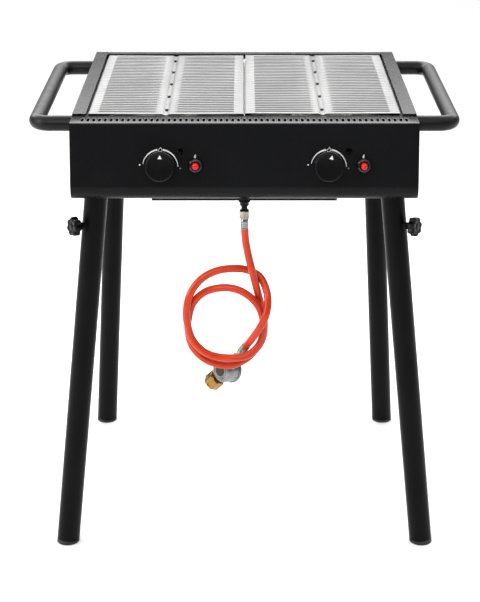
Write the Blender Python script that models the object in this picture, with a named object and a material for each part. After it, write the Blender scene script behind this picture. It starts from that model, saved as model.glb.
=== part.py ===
"""Two-burner gas charbroiler grill on four tube legs, as separate solids.

Metres, +Z up, +X to the operator's right, the operator stands on the -Y side. The origin is on
the floor, in the middle of the grill's bounding box without its gas hose.
Run with: blender --background --python part.py
"""
import math

import bmesh
import bpy
from mathutils import Matrix, Vector

# ---------------------------------------------------------------- driving dimensions
GAP = 0.0003                 # clearance between touching pieces
SHEET = 0.0015               # body sheet thickness
BODY_WIDTH = 0.610
BODY_DEPTH = 0.560
BODY_Y = 0.0115              # centre of the body, so that the whole grill is centred on Y = 0
TOP_Z = 0.825                # cooking height
BOTTOM_Z = 0.684             # lowest edge of the front panel
HALF = BODY_WIDTH / 2
FRONT = BODY_Y - BODY_DEPTH / 2
REAR = BODY_Y + BODY_DEPTH / 2

LEDGE_DEPTH = 0.054          # horizontal top of the front panel
LEDGE_Z = TOP_Z - 0.003
PANEL_LEAN = math.radians(9)
PANEL_BEND = 0.025           # radius of the bend under the panel
PANEL_FOLD = 0.0025          # radius of the fold between ledge and panel
RETURN_LENGTH = 0.015        # flange under the panel
VENT_COUNT = 57
VENT_PITCH = 0.01015
VENT_SIZE = (0.0050, 0.019)
VENT_FROM_FOLD = 0.023

RAIL_WIDTH = 0.024
SHELF_WIDTH = 0.018          # fold inside the rail that the grate's outer edge rests on
SIDE_BOTTOM = BOTTOM_Z + 0.004
SIDE_FLANGE = 0.075          # inward flange under each side
REAR_WINDOW_Z = 0.728        # the tray leaves under this edge
REAR_RAIL_Y = REAR - 0.019

GRATE_SIDE_GAP = 0.004
GRATE_SEAM = 0.0004
GRATE_FRONT = FRONT + LEDGE_DEPTH + 0.002
GRATE_LENGTH = 0.473
GRATE_SHEET = 0.0015
GRATE_FLANGE = 0.008
GRATE_STAGGER = 0.0015       # the loose plates lie a little apart, one forward, one back
OUTER_MARGIN = 0.017
INNER_MARGIN = 0.0185
FIELD_WIDTH = 0.102
VALLEY_WIDTH = 0.015
VALLEY_DEPTH = 0.0058
PLATE_FALL = 0.0006          # each field slopes down towards the valley
SLIT_COUNT = 35
SLIT_PITCH = 0.013
SLIT_SIZE = 0.0042
DRAIN_COUNT = 5
DRAIN_PITCH = 0.0983
DRAIN_SIZE = (0.005, 0.016)
DRAIN_FIRST = 0.034          # from the front edge of the plate
NOTCH = (0.0018, 0.058)      # clearance at the rear of the seam between the plates

KNOB_X = 0.147
CONTROL_Z = 0.749
IGNITER_OFFSET = (0.0615, 0.0)
SIGHT_OFFSET = (0.035, 0.0245)
KNOB_RADIUS = 0.0255
KNOB_BASE = 0.0055           # clearance under the knob: its push travel plus a margin
KNOB_TOP = 0.0285
SPINDLE_RADIUS = 0.003

HANDLE_RADIUS = 0.014
HANDLE_X = 0.373
HANDLE_Z = 0.803
HANDLE_ENDS = (BODY_Y - 0.208, BODY_Y + 0.230)
HANDLE_BEND = 0.026
HANDLE_WALL = 0.0015

LEG_RADIUS = 0.021
LEG_WALL = 0.0015
LEG_SIDES = 20
LEG_TOP_Z = 0.6815
LEG_TOP = (0.265, 0.235)
LEG_FOOT_FRONT = (0.3345, 0.267)
LEG_FOOT_REAR = (0.3035, 0.267)
SOCKET_RADIUS = 0.019
SOCKET_LENGTH = 0.085
CAP_RIM = 0.0062
STAR_Z = 0.622
STAR_ANGLE = math.radians(35)  # from sideways towards the front or the rear

BURNER_X = KNOB_X
BURNER_Z = 0.7405
BULKHEAD_Y = FRONT + 0.062
MANIFOLD_RADIUS = 0.011

RUNNER_TOP = 0.7215          # the drip tray's rims slide on the runners at this height
TRAY_HALF = 0.256
TRAY_RIM = 0.016             # overhang of each rim past the tray's side
TRAY_LOW = 0.6915
TRAY_PULL = 0.0195           # reach of the finger lip behind the drip tray

HOSE_RADIUS = 0.007
INLET_Y = FRONT + 0.0127
HOSE_POINTS = 52

# The hose's route: out of the ferrule, down, round two hanging loops and into the regulator.
HOSE_ROUTE = (
    (0.0008, -0.2558, 0.6237), (0.0013, -0.2558, 0.6110), (0.0034, -0.2558, 0.5937),
    (0.0085, -0.2556, 0.5678), (0.0153, -0.2556, 0.5389), (0.0240, -0.2490, 0.5010),
    (0.0318, -0.2427, 0.4666), (0.0364, -0.2410, 0.4375), (0.0340, -0.2400, 0.4086),
    (0.0212, -0.2405, 0.3853), (-0.0004, -0.2440, 0.3654), (-0.0308, -0.2458, 0.3558),
    (-0.0680, -0.2460, 0.3657), (-0.0940, -0.2465, 0.3919), (-0.1030, -0.2470, 0.4273),
    (-0.0998, -0.2475, 0.4603), (-0.0900, -0.2490, 0.4845), (-0.0690, -0.2505, 0.5032),
    (-0.0382, -0.2530, 0.5113), (-0.0105, -0.2560, 0.5076), (0.0122, -0.2592, 0.4940),
    (0.0274, -0.2592, 0.4735), (0.0338, -0.2565, 0.4495), (0.0343, -0.2550, 0.4236),
    (0.0252, -0.2552, 0.3982), (0.0030, -0.2592, 0.3805), (-0.0308, -0.2618, 0.3776),
    (-0.0670, -0.2625, 0.3859), (-0.0920, -0.2630, 0.4097), (-0.1020, -0.2630, 0.4382),
    (-0.1050, -0.2620, 0.4707), (-0.0972, -0.2590, 0.5024), (-0.0785, -0.2540, 0.5274),
    (-0.0508, -0.2460, 0.5407), (-0.0180, -0.2405, 0.5436), (0.0090, -0.2385, 0.5389),
    (0.0278, -0.2425, 0.5286), (0.0387, -0.2530, 0.5099), (0.0425, -0.2650, 0.4890),
    (0.0385, -0.2725, 0.4642), (0.0280, -0.2710, 0.4407), (0.0156, -0.2623, 0.4179),
    (0.0035, -0.2480, 0.3961),
)
REGULATOR_AXIS = Vector((-0.42, 0.50, -0.76)).normalized()
DRUM_AXIS = Vector((-0.70, -0.69, 0.17)).normalized()
BOTTLE_AXIS = Vector((-0.60, 0.35, -0.72)).normalized()
DRUM_DISTANCE = 0.087        # from the hose end to the middle of the diaphragm housing
BOTTLE_NUT_START = 0.0275    # from the middle of the housing to the bottle nut
PIPE_RADIUS = 0.0085

PAINT = (0.030, 0.031, 0.034, 1.0)
STEEL = (0.62, 0.62, 0.61, 1.0)
CORNERS = tuple((side, end) for end in ("front", "rear") for side in ("left", "right"))


# ---------------------------------------------------------------- helpers
def clear_scene():
    for obj in list(bpy.data.objects):
        bpy.data.objects.remove(obj, do_unlink=True)


def sign_of(side):
    return -1 if side == "left" else 1


def material(name, colour, roughness=0.5, metallic=0.0):
    mat = bpy.data.materials.new(name)
    mat.use_nodes = True
    shader = mat.node_tree.nodes["Principled BSDF"]
    shader.inputs["Base Color"].default_value = colour
    shader.inputs["Roughness"].default_value = roughness
    shader.inputs["Metallic"].default_value = metallic
    return mat


def link(name, data, mat=None, matrix=None):
    obj = bpy.data.objects.new(name, data)
    bpy.context.scene.collection.objects.link(obj)
    if matrix is not None:
        obj.matrix_world = matrix
    if mat is not None:
        data.materials.append(mat)
    return obj


def mesh_from(bm, name):
    bmesh.ops.recalc_face_normals(bm, faces=bm.faces)
    mesh = bpy.data.meshes.new(name)
    bm.to_mesh(mesh)
    bm.free()
    return mesh


def cutter(obj):
    obj.hide_render = True
    obj.display_type = "WIRE"
    return obj


def boolean(target, other, operation):
    modifier = target.modifiers.new(operation.lower(), "BOOLEAN")
    modifier.operation = operation
    modifier.solver = "EXACT"
    modifier.object = cutter(other)


def smooth(obj, angle=35):
    obj.data.shade_smooth()
    obj.data.set_sharp_from_angle(angle=math.radians(angle))
    return obj


def prism_mesh(name, outline, axis, low, high):
    """Extrude a closed outline, given in the two axes other than `axis`, from low to high."""
    order = {"X": (2, 0, 1), "Y": (0, 2, 1), "Z": (0, 1, 2)}[axis]
    bm = bmesh.new()
    rings = []
    for level in (low, high):
        ring = []
        for point in outline:
            values = (point[0], point[1], level)
            ring.append(bm.verts.new([values[i] for i in order]))
        rings.append(ring)
    bm.faces.new(rings[0])
    bm.faces.new(rings[1])
    for i in range(len(outline)):
        j = (i + 1) % len(outline)
        bm.faces.new((rings[0][i], rings[0][j], rings[1][j], rings[1][i]))
    return mesh_from(bm, name)


def prism(name, outline, axis, low, high, mat=None):
    return link(name, prism_mesh(name, outline, axis, low, high), mat)


def boxes(name, corners, mat=None, matrix=None):
    """One mesh that holds a box for each (low corner, high corner) pair."""
    bm = bmesh.new()
    for low, high in corners:
        centre = (Vector(low) + Vector(high)) / 2
        size = Vector(high) - Vector(low)
        place = Matrix.Translation(centre) @ Matrix.Diagonal(size.to_4d())
        bmesh.ops.create_cube(bm, size=1.0, matrix=place)
    return link(name, mesh_from(bm, name), mat, matrix)


def lathe(name, profile, segments, mat=None, matrix=None):
    """Turn a profile of (radius, height) points round the local Z axis.

    The profile is closed from its last point to its first, and stretches of it that lie on
    the axis make no face.
    """
    bm = bmesh.new()
    verts = [bm.verts.new((r, 0.0, z)) for r, z in profile]
    edges = []
    for a, b in zip(verts, verts[1:] + verts[:1]):
        if a.co.x > 0.0 or b.co.x > 0.0:
            edges.append(bm.edges.new((a, b)))
    bmesh.ops.spin(bm, geom=verts + edges, cent=(0, 0, 0), axis=(0, 0, 1),
                   angle=2 * math.pi, steps=segments, use_merge=True)
    bmesh.ops.remove_doubles(bm, verts=bm.verts, dist=1e-6)
    return smooth(link(name, mesh_from(bm, name), mat, matrix))


def frame_along(origin, direction, up=(0, 0, 1)):
    """A matrix whose local Z runs along `direction`, with local Y as near `up` as it can be."""
    z = Vector(direction).normalized()
    x = Vector(up).cross(z).normalized()
    y = z.cross(x)
    matrix = Matrix((x, y, z)).transposed().to_4x4()
    matrix.translation = origin
    return matrix


def arc_points(centre, radius, start, stop, steps):
    points = []
    for i in range(steps + 1):
        angle = math.radians(start + (stop - start) * i / steps)
        points.append((centre[0] + radius * math.cos(angle), centre[1] + radius * math.sin(angle)))
    return points


def smooth_route(route, count):
    """Points at even spacing along a smooth curve through the route's own points."""
    pts = [Vector(p) for p in route]
    pts = [2 * pts[0] - pts[1]] + pts + [2 * pts[-1] - pts[-2]]
    dense = []
    for a, b, c, d in zip(pts, pts[1:], pts[2:], pts[3:]):
        for step in range(24):
            t = step / 24
            dense.append(0.5 * (2 * b + (c - a) * t + (2 * a - 5 * b + 4 * c - d) * t ** 2
                                + (3 * b - a - 3 * c + d) * t ** 3))
    dense.append(pts[-2])
    lengths = [0.0]
    for a, b in zip(dense, dense[1:]):
        lengths.append(lengths[-1] + (b - a).length)
    even = []
    i = 0
    for k in range(count):
        target = lengths[-1] * k / (count - 1)
        while i < len(dense) - 2 and lengths[i + 1] < target:
            i += 1
        share = (target - lengths[i]) / (lengths[i + 1] - lengths[i])
        even.append(dense[i].lerp(dense[i + 1], min(max(share, 0.0), 1.0)))
    return even


def tube(name, points, radius, mat, resolution=2, caps=True):
    curve = bpy.data.curves.new(name, "CURVE")
    curve.dimensions = "3D"
    curve.bevel_depth = radius
    curve.bevel_resolution = resolution
    curve.use_fill_caps = caps
    spline = curve.splines.new("POLY")
    spline.points.add(len(points) - 1)
    for point, place in zip(spline.points, points):
        point.co = (*place, 1.0)
    return link(name, curve, mat)


def hexagon(across):
    radius = across / 2 / math.cos(math.pi / 6)
    return [(radius * math.cos(math.pi / 3 * i), radius * math.sin(math.pi / 3 * i))
            for i in range(6)]


def hex_nut(name, across, height, bore, mat, matrix):
    """A hexagonal nut with chamfered ends and a bore right through it, base at local Z = 0."""
    nut = link(name, prism_mesh(name, hexagon(across), "Z", 0.0, height), mat, matrix)
    corner = across / 2 / math.cos(math.pi / 6)
    edge = across / 2 * 0.97
    drop = (corner + 0.001 - edge) * 0.55
    envelope = lathe(name + "_envelope", [(0.0, 0.0), (edge, 0.0), (corner + 0.001, drop),
                     (corner + 0.001, height - drop), (edge, height), (0.0, height)], 24,
                     matrix=matrix)
    boolean(nut, envelope, "INTERSECT")
    hole = lathe(name + "_hole", [(0.0, -0.01), (bore, -0.01), (bore, height + 0.01),
                 (0.0, height + 0.01)], 16, matrix=matrix)
    boolean(nut, hole, "DIFFERENCE")
    return nut


# ---------------------------------------------------------------- the body
def panel_profile(inset):
    """The front panel's outline in (y, z), moved inwards by `inset`."""
    lean = PANEL_LEAN
    centre_z = BOTTOM_Z + PANEL_BEND
    centre_y = FRONT + (PANEL_BEND + (centre_z - LEDGE_Z) * math.sin(lean)) / math.cos(lean)
    fold_y = FRONT + inset * (1 - math.sin(lean)) / math.cos(lean)
    fold_z = LEDGE_Z - inset
    radius = max(PANEL_FOLD - inset, 0.0004)
    turn = math.radians(90 - math.degrees(lean))
    setback = radius * math.tan(turn / 2)
    fold_centre = (fold_y + setback, fold_z - radius)
    points = [(FRONT + LEDGE_DEPTH, fold_z)]
    points += arc_points(fold_centre, radius, 90, 180 - math.degrees(lean), 3)
    points += arc_points((centre_y, centre_z), PANEL_BEND - inset,
                         180 - math.degrees(lean), 270, 7)
    points.append((centre_y + RETURN_LENGTH, BOTTOM_Z + inset))
    return points


def control_frame(x, z):
    """Local Z points out of the front panel, local Y up along it, and Z = 0 is its surface."""
    y = FRONT - (LEDGE_Z - z) * math.tan(PANEL_LEAN)
    outward = Vector((0, -math.cos(PANEL_LEAN), math.sin(PANEL_LEAN)))
    return frame_along((x, y, z), outward)


def through_hole(name, x, z, radius):
    return lathe(name, [(0.0, -0.02), (radius, -0.02), (radius, 0.02), (0.0, 0.02)], 20,
                 matrix=control_frame(x, z))


def make_front_panel(mat):
    outline = panel_profile(0.0) + panel_profile(SHEET)[::-1]
    panel = prism("front_panel", outline, "X", -HALF, HALF, mat)
    half_w, half_l = VENT_SIZE[0] / 2, VENT_SIZE[1] / 2
    y = FRONT + VENT_FROM_FOLD
    vents = []
    for i in range(VENT_COUNT):
        x = (i - (VENT_COUNT - 1) / 2) * VENT_PITCH
        vents.append(((x - half_w, y - half_l, LEDGE_Z - 0.01),
                      (x + half_w, y + half_l, LEDGE_Z + 0.01)))
    boolean(panel, boxes("vent_cutter", vents), "DIFFERENCE")
    for side in ("left", "right"):
        x = sign_of(side) * KNOB_X
        holes = ((0.0, 0.0, 0.0075), (*IGNITER_OFFSET, 0.0088), (*SIGHT_OFFSET, 0.0056))
        for i, (dx, dz, radius) in enumerate(holes):
            hole = through_hole(f"panel_hole_{side}_{i}", x + dx, CONTROL_Z + dz, radius)
            boolean(panel, hole, "DIFFERENCE")
    notch = boxes("inlet_notch", [((-0.012, INLET_Y - 0.012, BOTTOM_Z - 0.01),
                                   (0.012, INLET_Y + 0.02, BOTTOM_Z + 0.01))])
    boolean(panel, notch, "DIFFERENCE")
    return smooth(panel, 25)


def make_side_panel(side, mat):
    s = sign_of(side)
    cheek = panel_profile(SHEET + GAP)[1:-1]
    wall = [(REAR, SIDE_BOTTOM), (REAR, TOP_Z), (FRONT + LEDGE_DEPTH + GAP, TOP_Z),
            (FRONT + LEDGE_DEPTH + GAP, LEDGE_Z - SHEET - GAP)] + cheek
    wall.append((cheek[-1][0] + 0.001, SIDE_BOTTOM))
    panel = prism(f"side_panel_{side}", wall, "X", s * (HALF - SHEET), s * HALF, mat)
    y0, y1 = FRONT + LEDGE_DEPTH + GAP, REAR
    rail_in = HALF - RAIL_WIDTH
    shelf_in = rail_in - SHELF_WIDTH
    shelf = TOP_Z - GRATE_FLANGE - GAP
    lip = [(HALF - 0.0004, TOP_Z), (rail_in, TOP_Z), (rail_in, shelf), (shelf_in, shelf),
           (shelf_in, shelf - SHEET), (rail_in + SHEET, shelf - SHEET),
           (rail_in + SHEET, TOP_Z - SHEET), (HALF - 0.0004, TOP_Z - SHEET)]
    lip = [(s * x, z) for x, z in lip]
    boolean(panel, prism(f"rail_{side}", lip, "Y", y0, y1), "UNION")
    flange_y = centre_return() + 0.002
    flange = boxes(f"flange_{side}", [ordered((s * (HALF - SIDE_FLANGE), flange_y, SIDE_BOTTOM),
                                              (s * (HALF - 0.0004), REAR, SIDE_BOTTOM + SHEET))])
    boolean(panel, flange, "UNION")
    trims = (((shelf_in - 0.01, REAR - SHEET - GAP, 0.70),
              (HALF - SHEET, REAR + 0.01, TOP_Z - SHEET)),
             ((shelf_in - 0.01, REAR_RAIL_Y - GAP, shelf - 0.01),
              (rail_in - 0.0001, REAR + 0.01, TOP_Z + 0.01)))
    for i, (a, b) in enumerate(trims):
        corners = ordered((s * a[0], a[1], a[2]), (s * b[0], b[1], b[2]))
        boolean(panel, boxes(f"rear_trim_{side}_{i}", [corners]), "DIFFERENCE")
    return panel


def centre_return():
    """Y where the flange under the front panel ends."""
    return panel_profile(0.0)[-1][0]


def ordered(a, b):
    """The low and high corners of the box between two opposite corners."""
    low = tuple(min(p, q) for p, q in zip(a, b))
    high = tuple(max(p, q) for p, q in zip(a, b))
    return low, high


def make_rear_panel(mat):
    wide = HALF - SHEET - GAP
    narrow = HALF - RAIL_WIDTH - GAP
    shoulder = TOP_Z - GRATE_FLANGE - SHEET - 0.001
    wall = [(-wide, REAR_WINDOW_Z), (wide, REAR_WINDOW_Z), (wide, shoulder), (narrow, shoulder),
            (narrow, TOP_Z - 0.0005), (-narrow, TOP_Z - 0.0005), (-narrow, shoulder),
            (-wide, shoulder)]
    panel = prism("rear_panel", wall, "Y", REAR - SHEET, REAR, mat)
    y0, y1 = REAR_RAIL_Y, REAR - 0.0004
    top = TOP_Z - 0.0005
    lip = [(y1, top), (y0, top), (y0, top - 0.012), (y0 + SHEET, top - 0.012),
           (y0 + SHEET, top - SHEET), (y1, top - SHEET)]
    boolean(panel, prism("rear_rail_union", lip, "X", -narrow, narrow), "UNION")
    return panel


def make_control_box_floor(mat):
    """Folded plate under the front panel that closes the valve space and holds the inlet."""
    front = FRONT + 0.009
    low = BOTTOM_Z - 0.0058
    top = BOTTOM_Z - GAP
    outline = [(front, low), (front + SHEET, low), (front + SHEET, top - SHEET),
               (FRONT + 0.060, top - SHEET), (FRONT + 0.060, top), (front, top)]
    plate = prism("control_box_floor", outline, "X", -0.164, 0.164, mat)
    hole = lathe("inlet_hole", [(0.0, 0.6), (0.0085, 0.6), (0.0085, 0.7), (0.0, 0.7)], 20,
                 matrix=Matrix.Translation((0, INLET_Y, 0)))
    boolean(plate, hole, "DIFFERENCE")
    return plate


def make_bulkhead(mat):
    """Sheet between the valve space and the firebox; the burners and electrodes pass it."""
    wide = HALF - SHEET - GAP
    top = TOP_Z - PLATE_FALL - VALLEY_DEPTH - GRATE_SHEET - 0.002
    outline = [(-wide, SIDE_BOTTOM + SHEET + GAP), (wide, SIDE_BOTTOM + SHEET + GAP),
               (wide, top), (-wide, top)]
    sheet = prism("bulkhead", outline, "Y", BULKHEAD_Y, BULKHEAD_Y + SHEET, mat)
    for side in ("left", "right"):
        s = sign_of(side)
        for label, x, z, radius in (("burner", s * BURNER_X, BURNER_Z, 0.0118),
                                    ("spark", s * BURNER_X + 0.026, BURNER_Z + 0.012, 0.0040)):
            place = frame_along((x, BULKHEAD_Y, z), (0, 1, 0))
            hole = lathe(f"{label}_hole_{side}", [(0.0, -0.01), (radius, -0.01),
                         (radius, 0.01), (0.0, 0.01)], 16, matrix=place)
            boolean(sheet, hole, "DIFFERENCE")
    return sheet


def make_handle(side, mat):
    """U-shaped tube welded to the side: two arms, two bends and the grip between them."""
    s = sign_of(side)
    y0, y1 = HANDLE_ENDS
    bend_x = HANDLE_X - HANDLE_BEND
    path = [(HALF + GAP, y0)]
    path += arc_points((bend_x, y0 + HANDLE_BEND), HANDLE_BEND, -90, 0, 5)
    path += arc_points((bend_x, y1 - HANDLE_BEND), HANDLE_BEND, 0, 90, 5)
    path.append((HALF + GAP, y1))
    points = [(s * x, y, HANDLE_Z) for x, y in path]
    handle = tube(f"handle_{side}", points, HANDLE_RADIUS, mat, resolution=3, caps=False)
    wall = handle.modifiers.new("wall", "SOLIDIFY")
    wall.thickness = HANDLE_WALL
    wall.offset = -1.0
    return handle


def make_centre_bar(mat):
    """T-bar under the seam that carries the inner edges of both grates."""
    top = TOP_Z - GRATE_FLANGE - GAP
    outline = [(-0.011, top), (-0.011, top - 0.002), (-0.0015, top - 0.002),
               (-0.0015, top - 0.016), (0.0015, top - 0.016), (0.0015, top - 0.002),
               (0.011, top - 0.002), (0.011, top)]
    return prism("grate_centre_bar", outline, "Y", BULKHEAD_Y + SHEET + GAP,
                 REAR_RAIL_Y - GAP, mat)


# ---------------------------------------------------------------- gas and ignition
def make_manifold(mat, frame):
    """Tube along X behind the panel that feeds both valves; closed ends, one outlet below."""
    centre = frame @ Vector((0, -0.0225, -0.028))
    place = frame_along((-0.19, centre.y, centre.z), (1, 0, 0))
    r, bore, length = MANIFOLD_RADIUS, MANIFOLD_RADIUS - 0.0015, 0.38
    outline = [(0.0, 0.0), (r, 0.0), (r, length), (0.0, length)]
    manifold = lathe("gas_manifold", outline, 16, mat, place)
    hollow = lathe("manifold_bore", [(0.0, 0.002), (bore, 0.002), (bore, length - 0.002),
                   (0.0, length - 0.002)], 16, matrix=place)
    outlet = lathe("manifold_outlet", [(0.0, -0.02), (0.0045, -0.02), (0.0045, 0.0),
                   (0.0, 0.0)], 12, matrix=Matrix.Translation((0, centre.y, centre.z)))
    boolean(hollow, outlet, "UNION")
    boolean(manifold, hollow, "DIFFERENCE")
    return manifold


def make_valve(side, frame, mat):
    """Gas tap body: a cup whose bore holds the turning plug, with a cap round the spindle."""
    profile = [(0.0045, -0.0080), (0.0110, -0.0080), (0.0110, -0.0450), (0.0020, -0.0450),
               (0.0020, -0.0413), (0.0073, -0.0413), (0.0073, -0.0115), (0.0045, -0.0115)]
    return lathe(f"gas_valve_{side}", profile, 16, mat, frame)


def make_valve_plug(side, frame, mat):
    profile = [(0.0, -0.0410), (0.0068, -0.0410), (0.0068, -0.0120), (0.0035, -0.0120),
               (0.0035, -0.0370), (0.0, -0.0370)]
    return lathe(f"valve_plug_{side}", profile, 16, mat, frame)


def make_spindle(side, frame, mat):
    profile = [(0.0, -0.0320), (SPINDLE_RADIUS, -0.0320), (SPINDLE_RADIUS, 0.0205),
               (0.0, 0.0205)]
    return lathe(f"valve_spindle_{side}", profile, 12, mat, frame)


def make_injector(side, frame, mat):
    profile = [(0.0008, -0.0453), (0.0045, -0.0453), (0.0045, -0.0520), (0.0030, -0.0535),
               (0.0030, -0.0580), (0.0008, -0.0580)]
    return lathe(f"injector_{side}", profile, 12, mat, frame)


def make_knob(side, frame, mat):
    r = KNOB_RADIUS
    profile = [(0.0, 0.0210), (0.0034, 0.0210), (0.0034, KNOB_BASE), (r - 0.0015, KNOB_BASE),
               (r, KNOB_BASE + 0.0015), (r, KNOB_TOP - 0.0020), (r - 0.0006, KNOB_TOP - 0.0006),
               (r - 0.0020, KNOB_TOP), (r - 0.0060, KNOB_TOP - 0.0010), (0.0, KNOB_TOP - 0.0016)]
    return lathe(f"control_knob_{side}", profile, 24, mat, frame)


def make_igniter(side, frame, mat):
    profile = [(0.0065, 0.0085), (0.0100, 0.0085), (0.0125, 0.0055), (0.0130, GAP),
               (0.0085, GAP), (0.0085, -0.0400), (0.0020, -0.0400), (0.0020, -0.0360),
               (0.0065, -0.0360)]
    return lathe(f"igniter_body_{side}", profile, 16, mat, frame)


def make_igniter_button(side, frame, mat):
    profile = [(0.0, -0.0200), (0.0060, -0.0200), (0.0060, 0.0165), (0.0052, 0.0185),
               (0.0034, 0.0198), (0.0, 0.0203)]
    return lathe(f"igniter_button_{side}", profile, 14, mat, frame)


def make_gas_inlet(mat, manifold_z):
    """Vertical fitting from the manifold through the floor plate to the hose nut."""
    bore = 0.0040
    top = manifold_z - MANIFOLD_RADIUS - GAP
    floor = BOTTOM_Z - 0.0058
    profile = [(bore, top), (0.0078, top), (0.0078, floor - GAP), (0.0105, floor - GAP),
               (0.0105, floor - 0.0020), (0.0082, floor - 0.0042), (0.0082, floor - 0.0090),
               (0.0056, floor - 0.0105), (0.0056, floor - 0.0165), (0.0080, floor - 0.0190),
               (bore, floor - 0.0190)]
    return lathe("gas_inlet", profile, 14, mat, Matrix.Translation((0, INLET_Y, 0)))


def make_burner(side, mat):
    """Straight tube burner: open neck in the valve space, ported tube with a closed end."""
    x = sign_of(side) * BURNER_X
    start = FRONT + 0.044
    length = REAR - 0.035 - start
    wall = 0.0012
    neck, tube_r = 0.0112, 0.0150
    outer = [(neck, 0.0), (neck, 0.030), (tube_r, 0.050), (tube_r, length), (0.0, length)]
    inner = [(0.0, length - wall), (tube_r - wall, length - wall), (tube_r - wall, 0.0505),
             (neck - wall, 0.0305), (neck - wall, 0.0)]
    place = frame_along((x, start, BURNER_Z), (0, 1, 0))
    burner = lathe(f"burner_{side}", outer + inner, 12, mat, place)
    ports = []
    for i in range(7):
        y = start + 0.085 + i * 0.055
        ports.append(((x - 0.03, y, BURNER_Z + 0.004), (x + 0.03, y + 0.010, BURNER_Z + 0.0065)))
    boolean(burner, boxes(f"ports_{side}", ports), "DIFFERENCE")
    return burner


def make_deflector(side, mat):
    """Folded roof over a burner that keeps fat off the flame and sheds it to the tray."""
    x = sign_of(side) * BURNER_X
    t = 0.0012
    outline = [(x - 0.058, 0.7680), (x, 0.7930), (x + 0.058, 0.7680), (x + 0.058, 0.7680 - t),
               (x, 0.7930 - 1.1 * t), (x - 0.058, 0.7680 - t)]
    return prism(f"heat_deflector_{side}", outline, "Y", BULKHEAD_Y + SHEET + GAP,
                 REAR - SHEET - GAP, mat)


def make_electrode(side, mat):
    """Ceramic spark electrode with its wire tip beside the burner's first ports."""
    place = frame_along((sign_of(side) * BURNER_X + 0.026, FRONT + 0.046, BURNER_Z + 0.012),
                        (0, 1, 0))
    profile = [(0.0, 0.0), (0.0015, 0.0), (0.0015, 0.006), (0.0035, 0.006), (0.0035, 0.046),
               (0.0012, 0.048), (0.0012, 0.078), (0.0, 0.078)]
    return lathe(f"ignition_electrode_{side}", profile, 12, mat, place)


def make_ignition_lead(side, frame, mat):
    """Insulated wire from the back of the igniter to the electrode."""
    start = frame @ Vector((0, 0, -0.0403))
    end = Vector((sign_of(side) * BURNER_X + 0.026, FRONT + 0.0448, BURNER_Z + 0.012))
    route = [start, start + Vector((0, 0.003, 0.0)), (start + end) / 2 + Vector((0, 0.001, 0.012)),
             end + Vector((0.004, -0.004, 0.003)), end]
    return tube(f"ignition_lead_{side}", smooth_route(route, 12), 0.0012, mat)


# ---------------------------------------------------------------- grates and tray
def grate_profile(side):
    """Cross-section of a grate in (x, z), the outer flange first, seen from the front."""
    s = sign_of(side)
    outer = HALF - RAIL_WIDTH - GRATE_SIDE_GAP
    t = GRATE_SHEET
    valley = INNER_MARGIN + FIELD_WIDTH + INNER_MARGIN
    low = TOP_Z - PLATE_FALL
    bottom = low - VALLEY_DEPTH
    half = VALLEY_WIDTH / 2
    flange = TOP_Z - GRATE_FLANGE
    upper = [(outer, flange), (outer, TOP_Z - 0.0008), (outer - 0.0008, TOP_Z),
             (outer - OUTER_MARGIN, TOP_Z), (valley + half, low), (valley + 0.003, bottom),
             (valley - 0.003, bottom), (valley - half, low), (INNER_MARGIN, TOP_Z),
             (GRATE_SEAM + 0.0025, TOP_Z), (GRATE_SEAM + 0.0007, TOP_Z - 0.0008),
             (GRATE_SEAM, TOP_Z - 0.0025), (GRATE_SEAM, flange)]
    lower = [(GRATE_SEAM + t, flange), (GRATE_SEAM + t, TOP_Z - 0.0027),
             (GRATE_SEAM + 0.0028, TOP_Z - t), (INNER_MARGIN, TOP_Z - t),
             (valley - half - 0.0003, low - t), (valley - 0.0036, bottom - t),
             (valley + 0.0036, bottom - t), (valley + half + 0.0003, low - t),
             (outer - OUTER_MARGIN, TOP_Z - t), (outer - t, TOP_Z - t), (outer - t, flange)]
    return [(s * x, z) for x, z in upper + lower], valley


def make_grate(side, mat):
    outline, valley = grate_profile(side)
    s = sign_of(side)
    outer = HALF - RAIL_WIDTH - GRATE_SIDE_GAP
    y0 = GRATE_FRONT + GRATE_STAGGER * (1 + s)
    y1 = y0 + GRATE_LENGTH
    grate = prism(f"grate_{side}", outline, "Y", y0, y1, mat)
    fields = ((INNER_MARGIN, INNER_MARGIN + FIELD_WIDTH),
              (outer - OUTER_MARGIN - FIELD_WIDTH, outer - OUTER_MARGIN))
    cuts = []
    first = (y0 + y1) / 2 - SLIT_PITCH * (SLIT_COUNT - 1) / 2
    for low, high in fields:
        for i in range(SLIT_COUNT):
            y = first + i * SLIT_PITCH
            cuts.append(ordered((s * low, y - SLIT_SIZE / 2, TOP_Z - 0.007),
                                (s * high, y + SLIT_SIZE / 2, TOP_Z + 0.005)))
    for i in range(DRAIN_COUNT):
        y = y0 + DRAIN_FIRST + i * DRAIN_PITCH
        cuts.append(ordered((s * (valley - DRAIN_SIZE[0] / 2), y - DRAIN_SIZE[1] / 2, TOP_Z - 0.02),
                            (s * (valley + DRAIN_SIZE[0] / 2), y + DRAIN_SIZE[1] / 2, TOP_Z)))
    cuts.append(ordered((s * -0.001, y1 - NOTCH[1], TOP_Z - 0.02),
                        (s * (GRATE_SEAM + NOTCH[0]), y1 + 0.01, TOP_Z + 0.005)))
    boolean(grate, boxes(f"grate_cutter_{side}", cuts), "DIFFERENCE")
    return grate


def make_tray_runner(side, mat):
    s = sign_of(side)
    wall = HALF - SHEET - GAP
    top = RUNNER_TOP
    inner = TRAY_HALF + 0.003
    outline = [(s * wall, top), (s * inner, top), (s * inner, top - SHEET),
               (s * (wall - SHEET), top - SHEET), (s * (wall - SHEET), top - 0.014),
               (s * wall, top - 0.014)]
    return prism(f"tray_runner_{side}", outline, "Y", BULKHEAD_Y + SHEET + GAP,
                 REAR - SHEET - GAP, mat)


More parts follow.
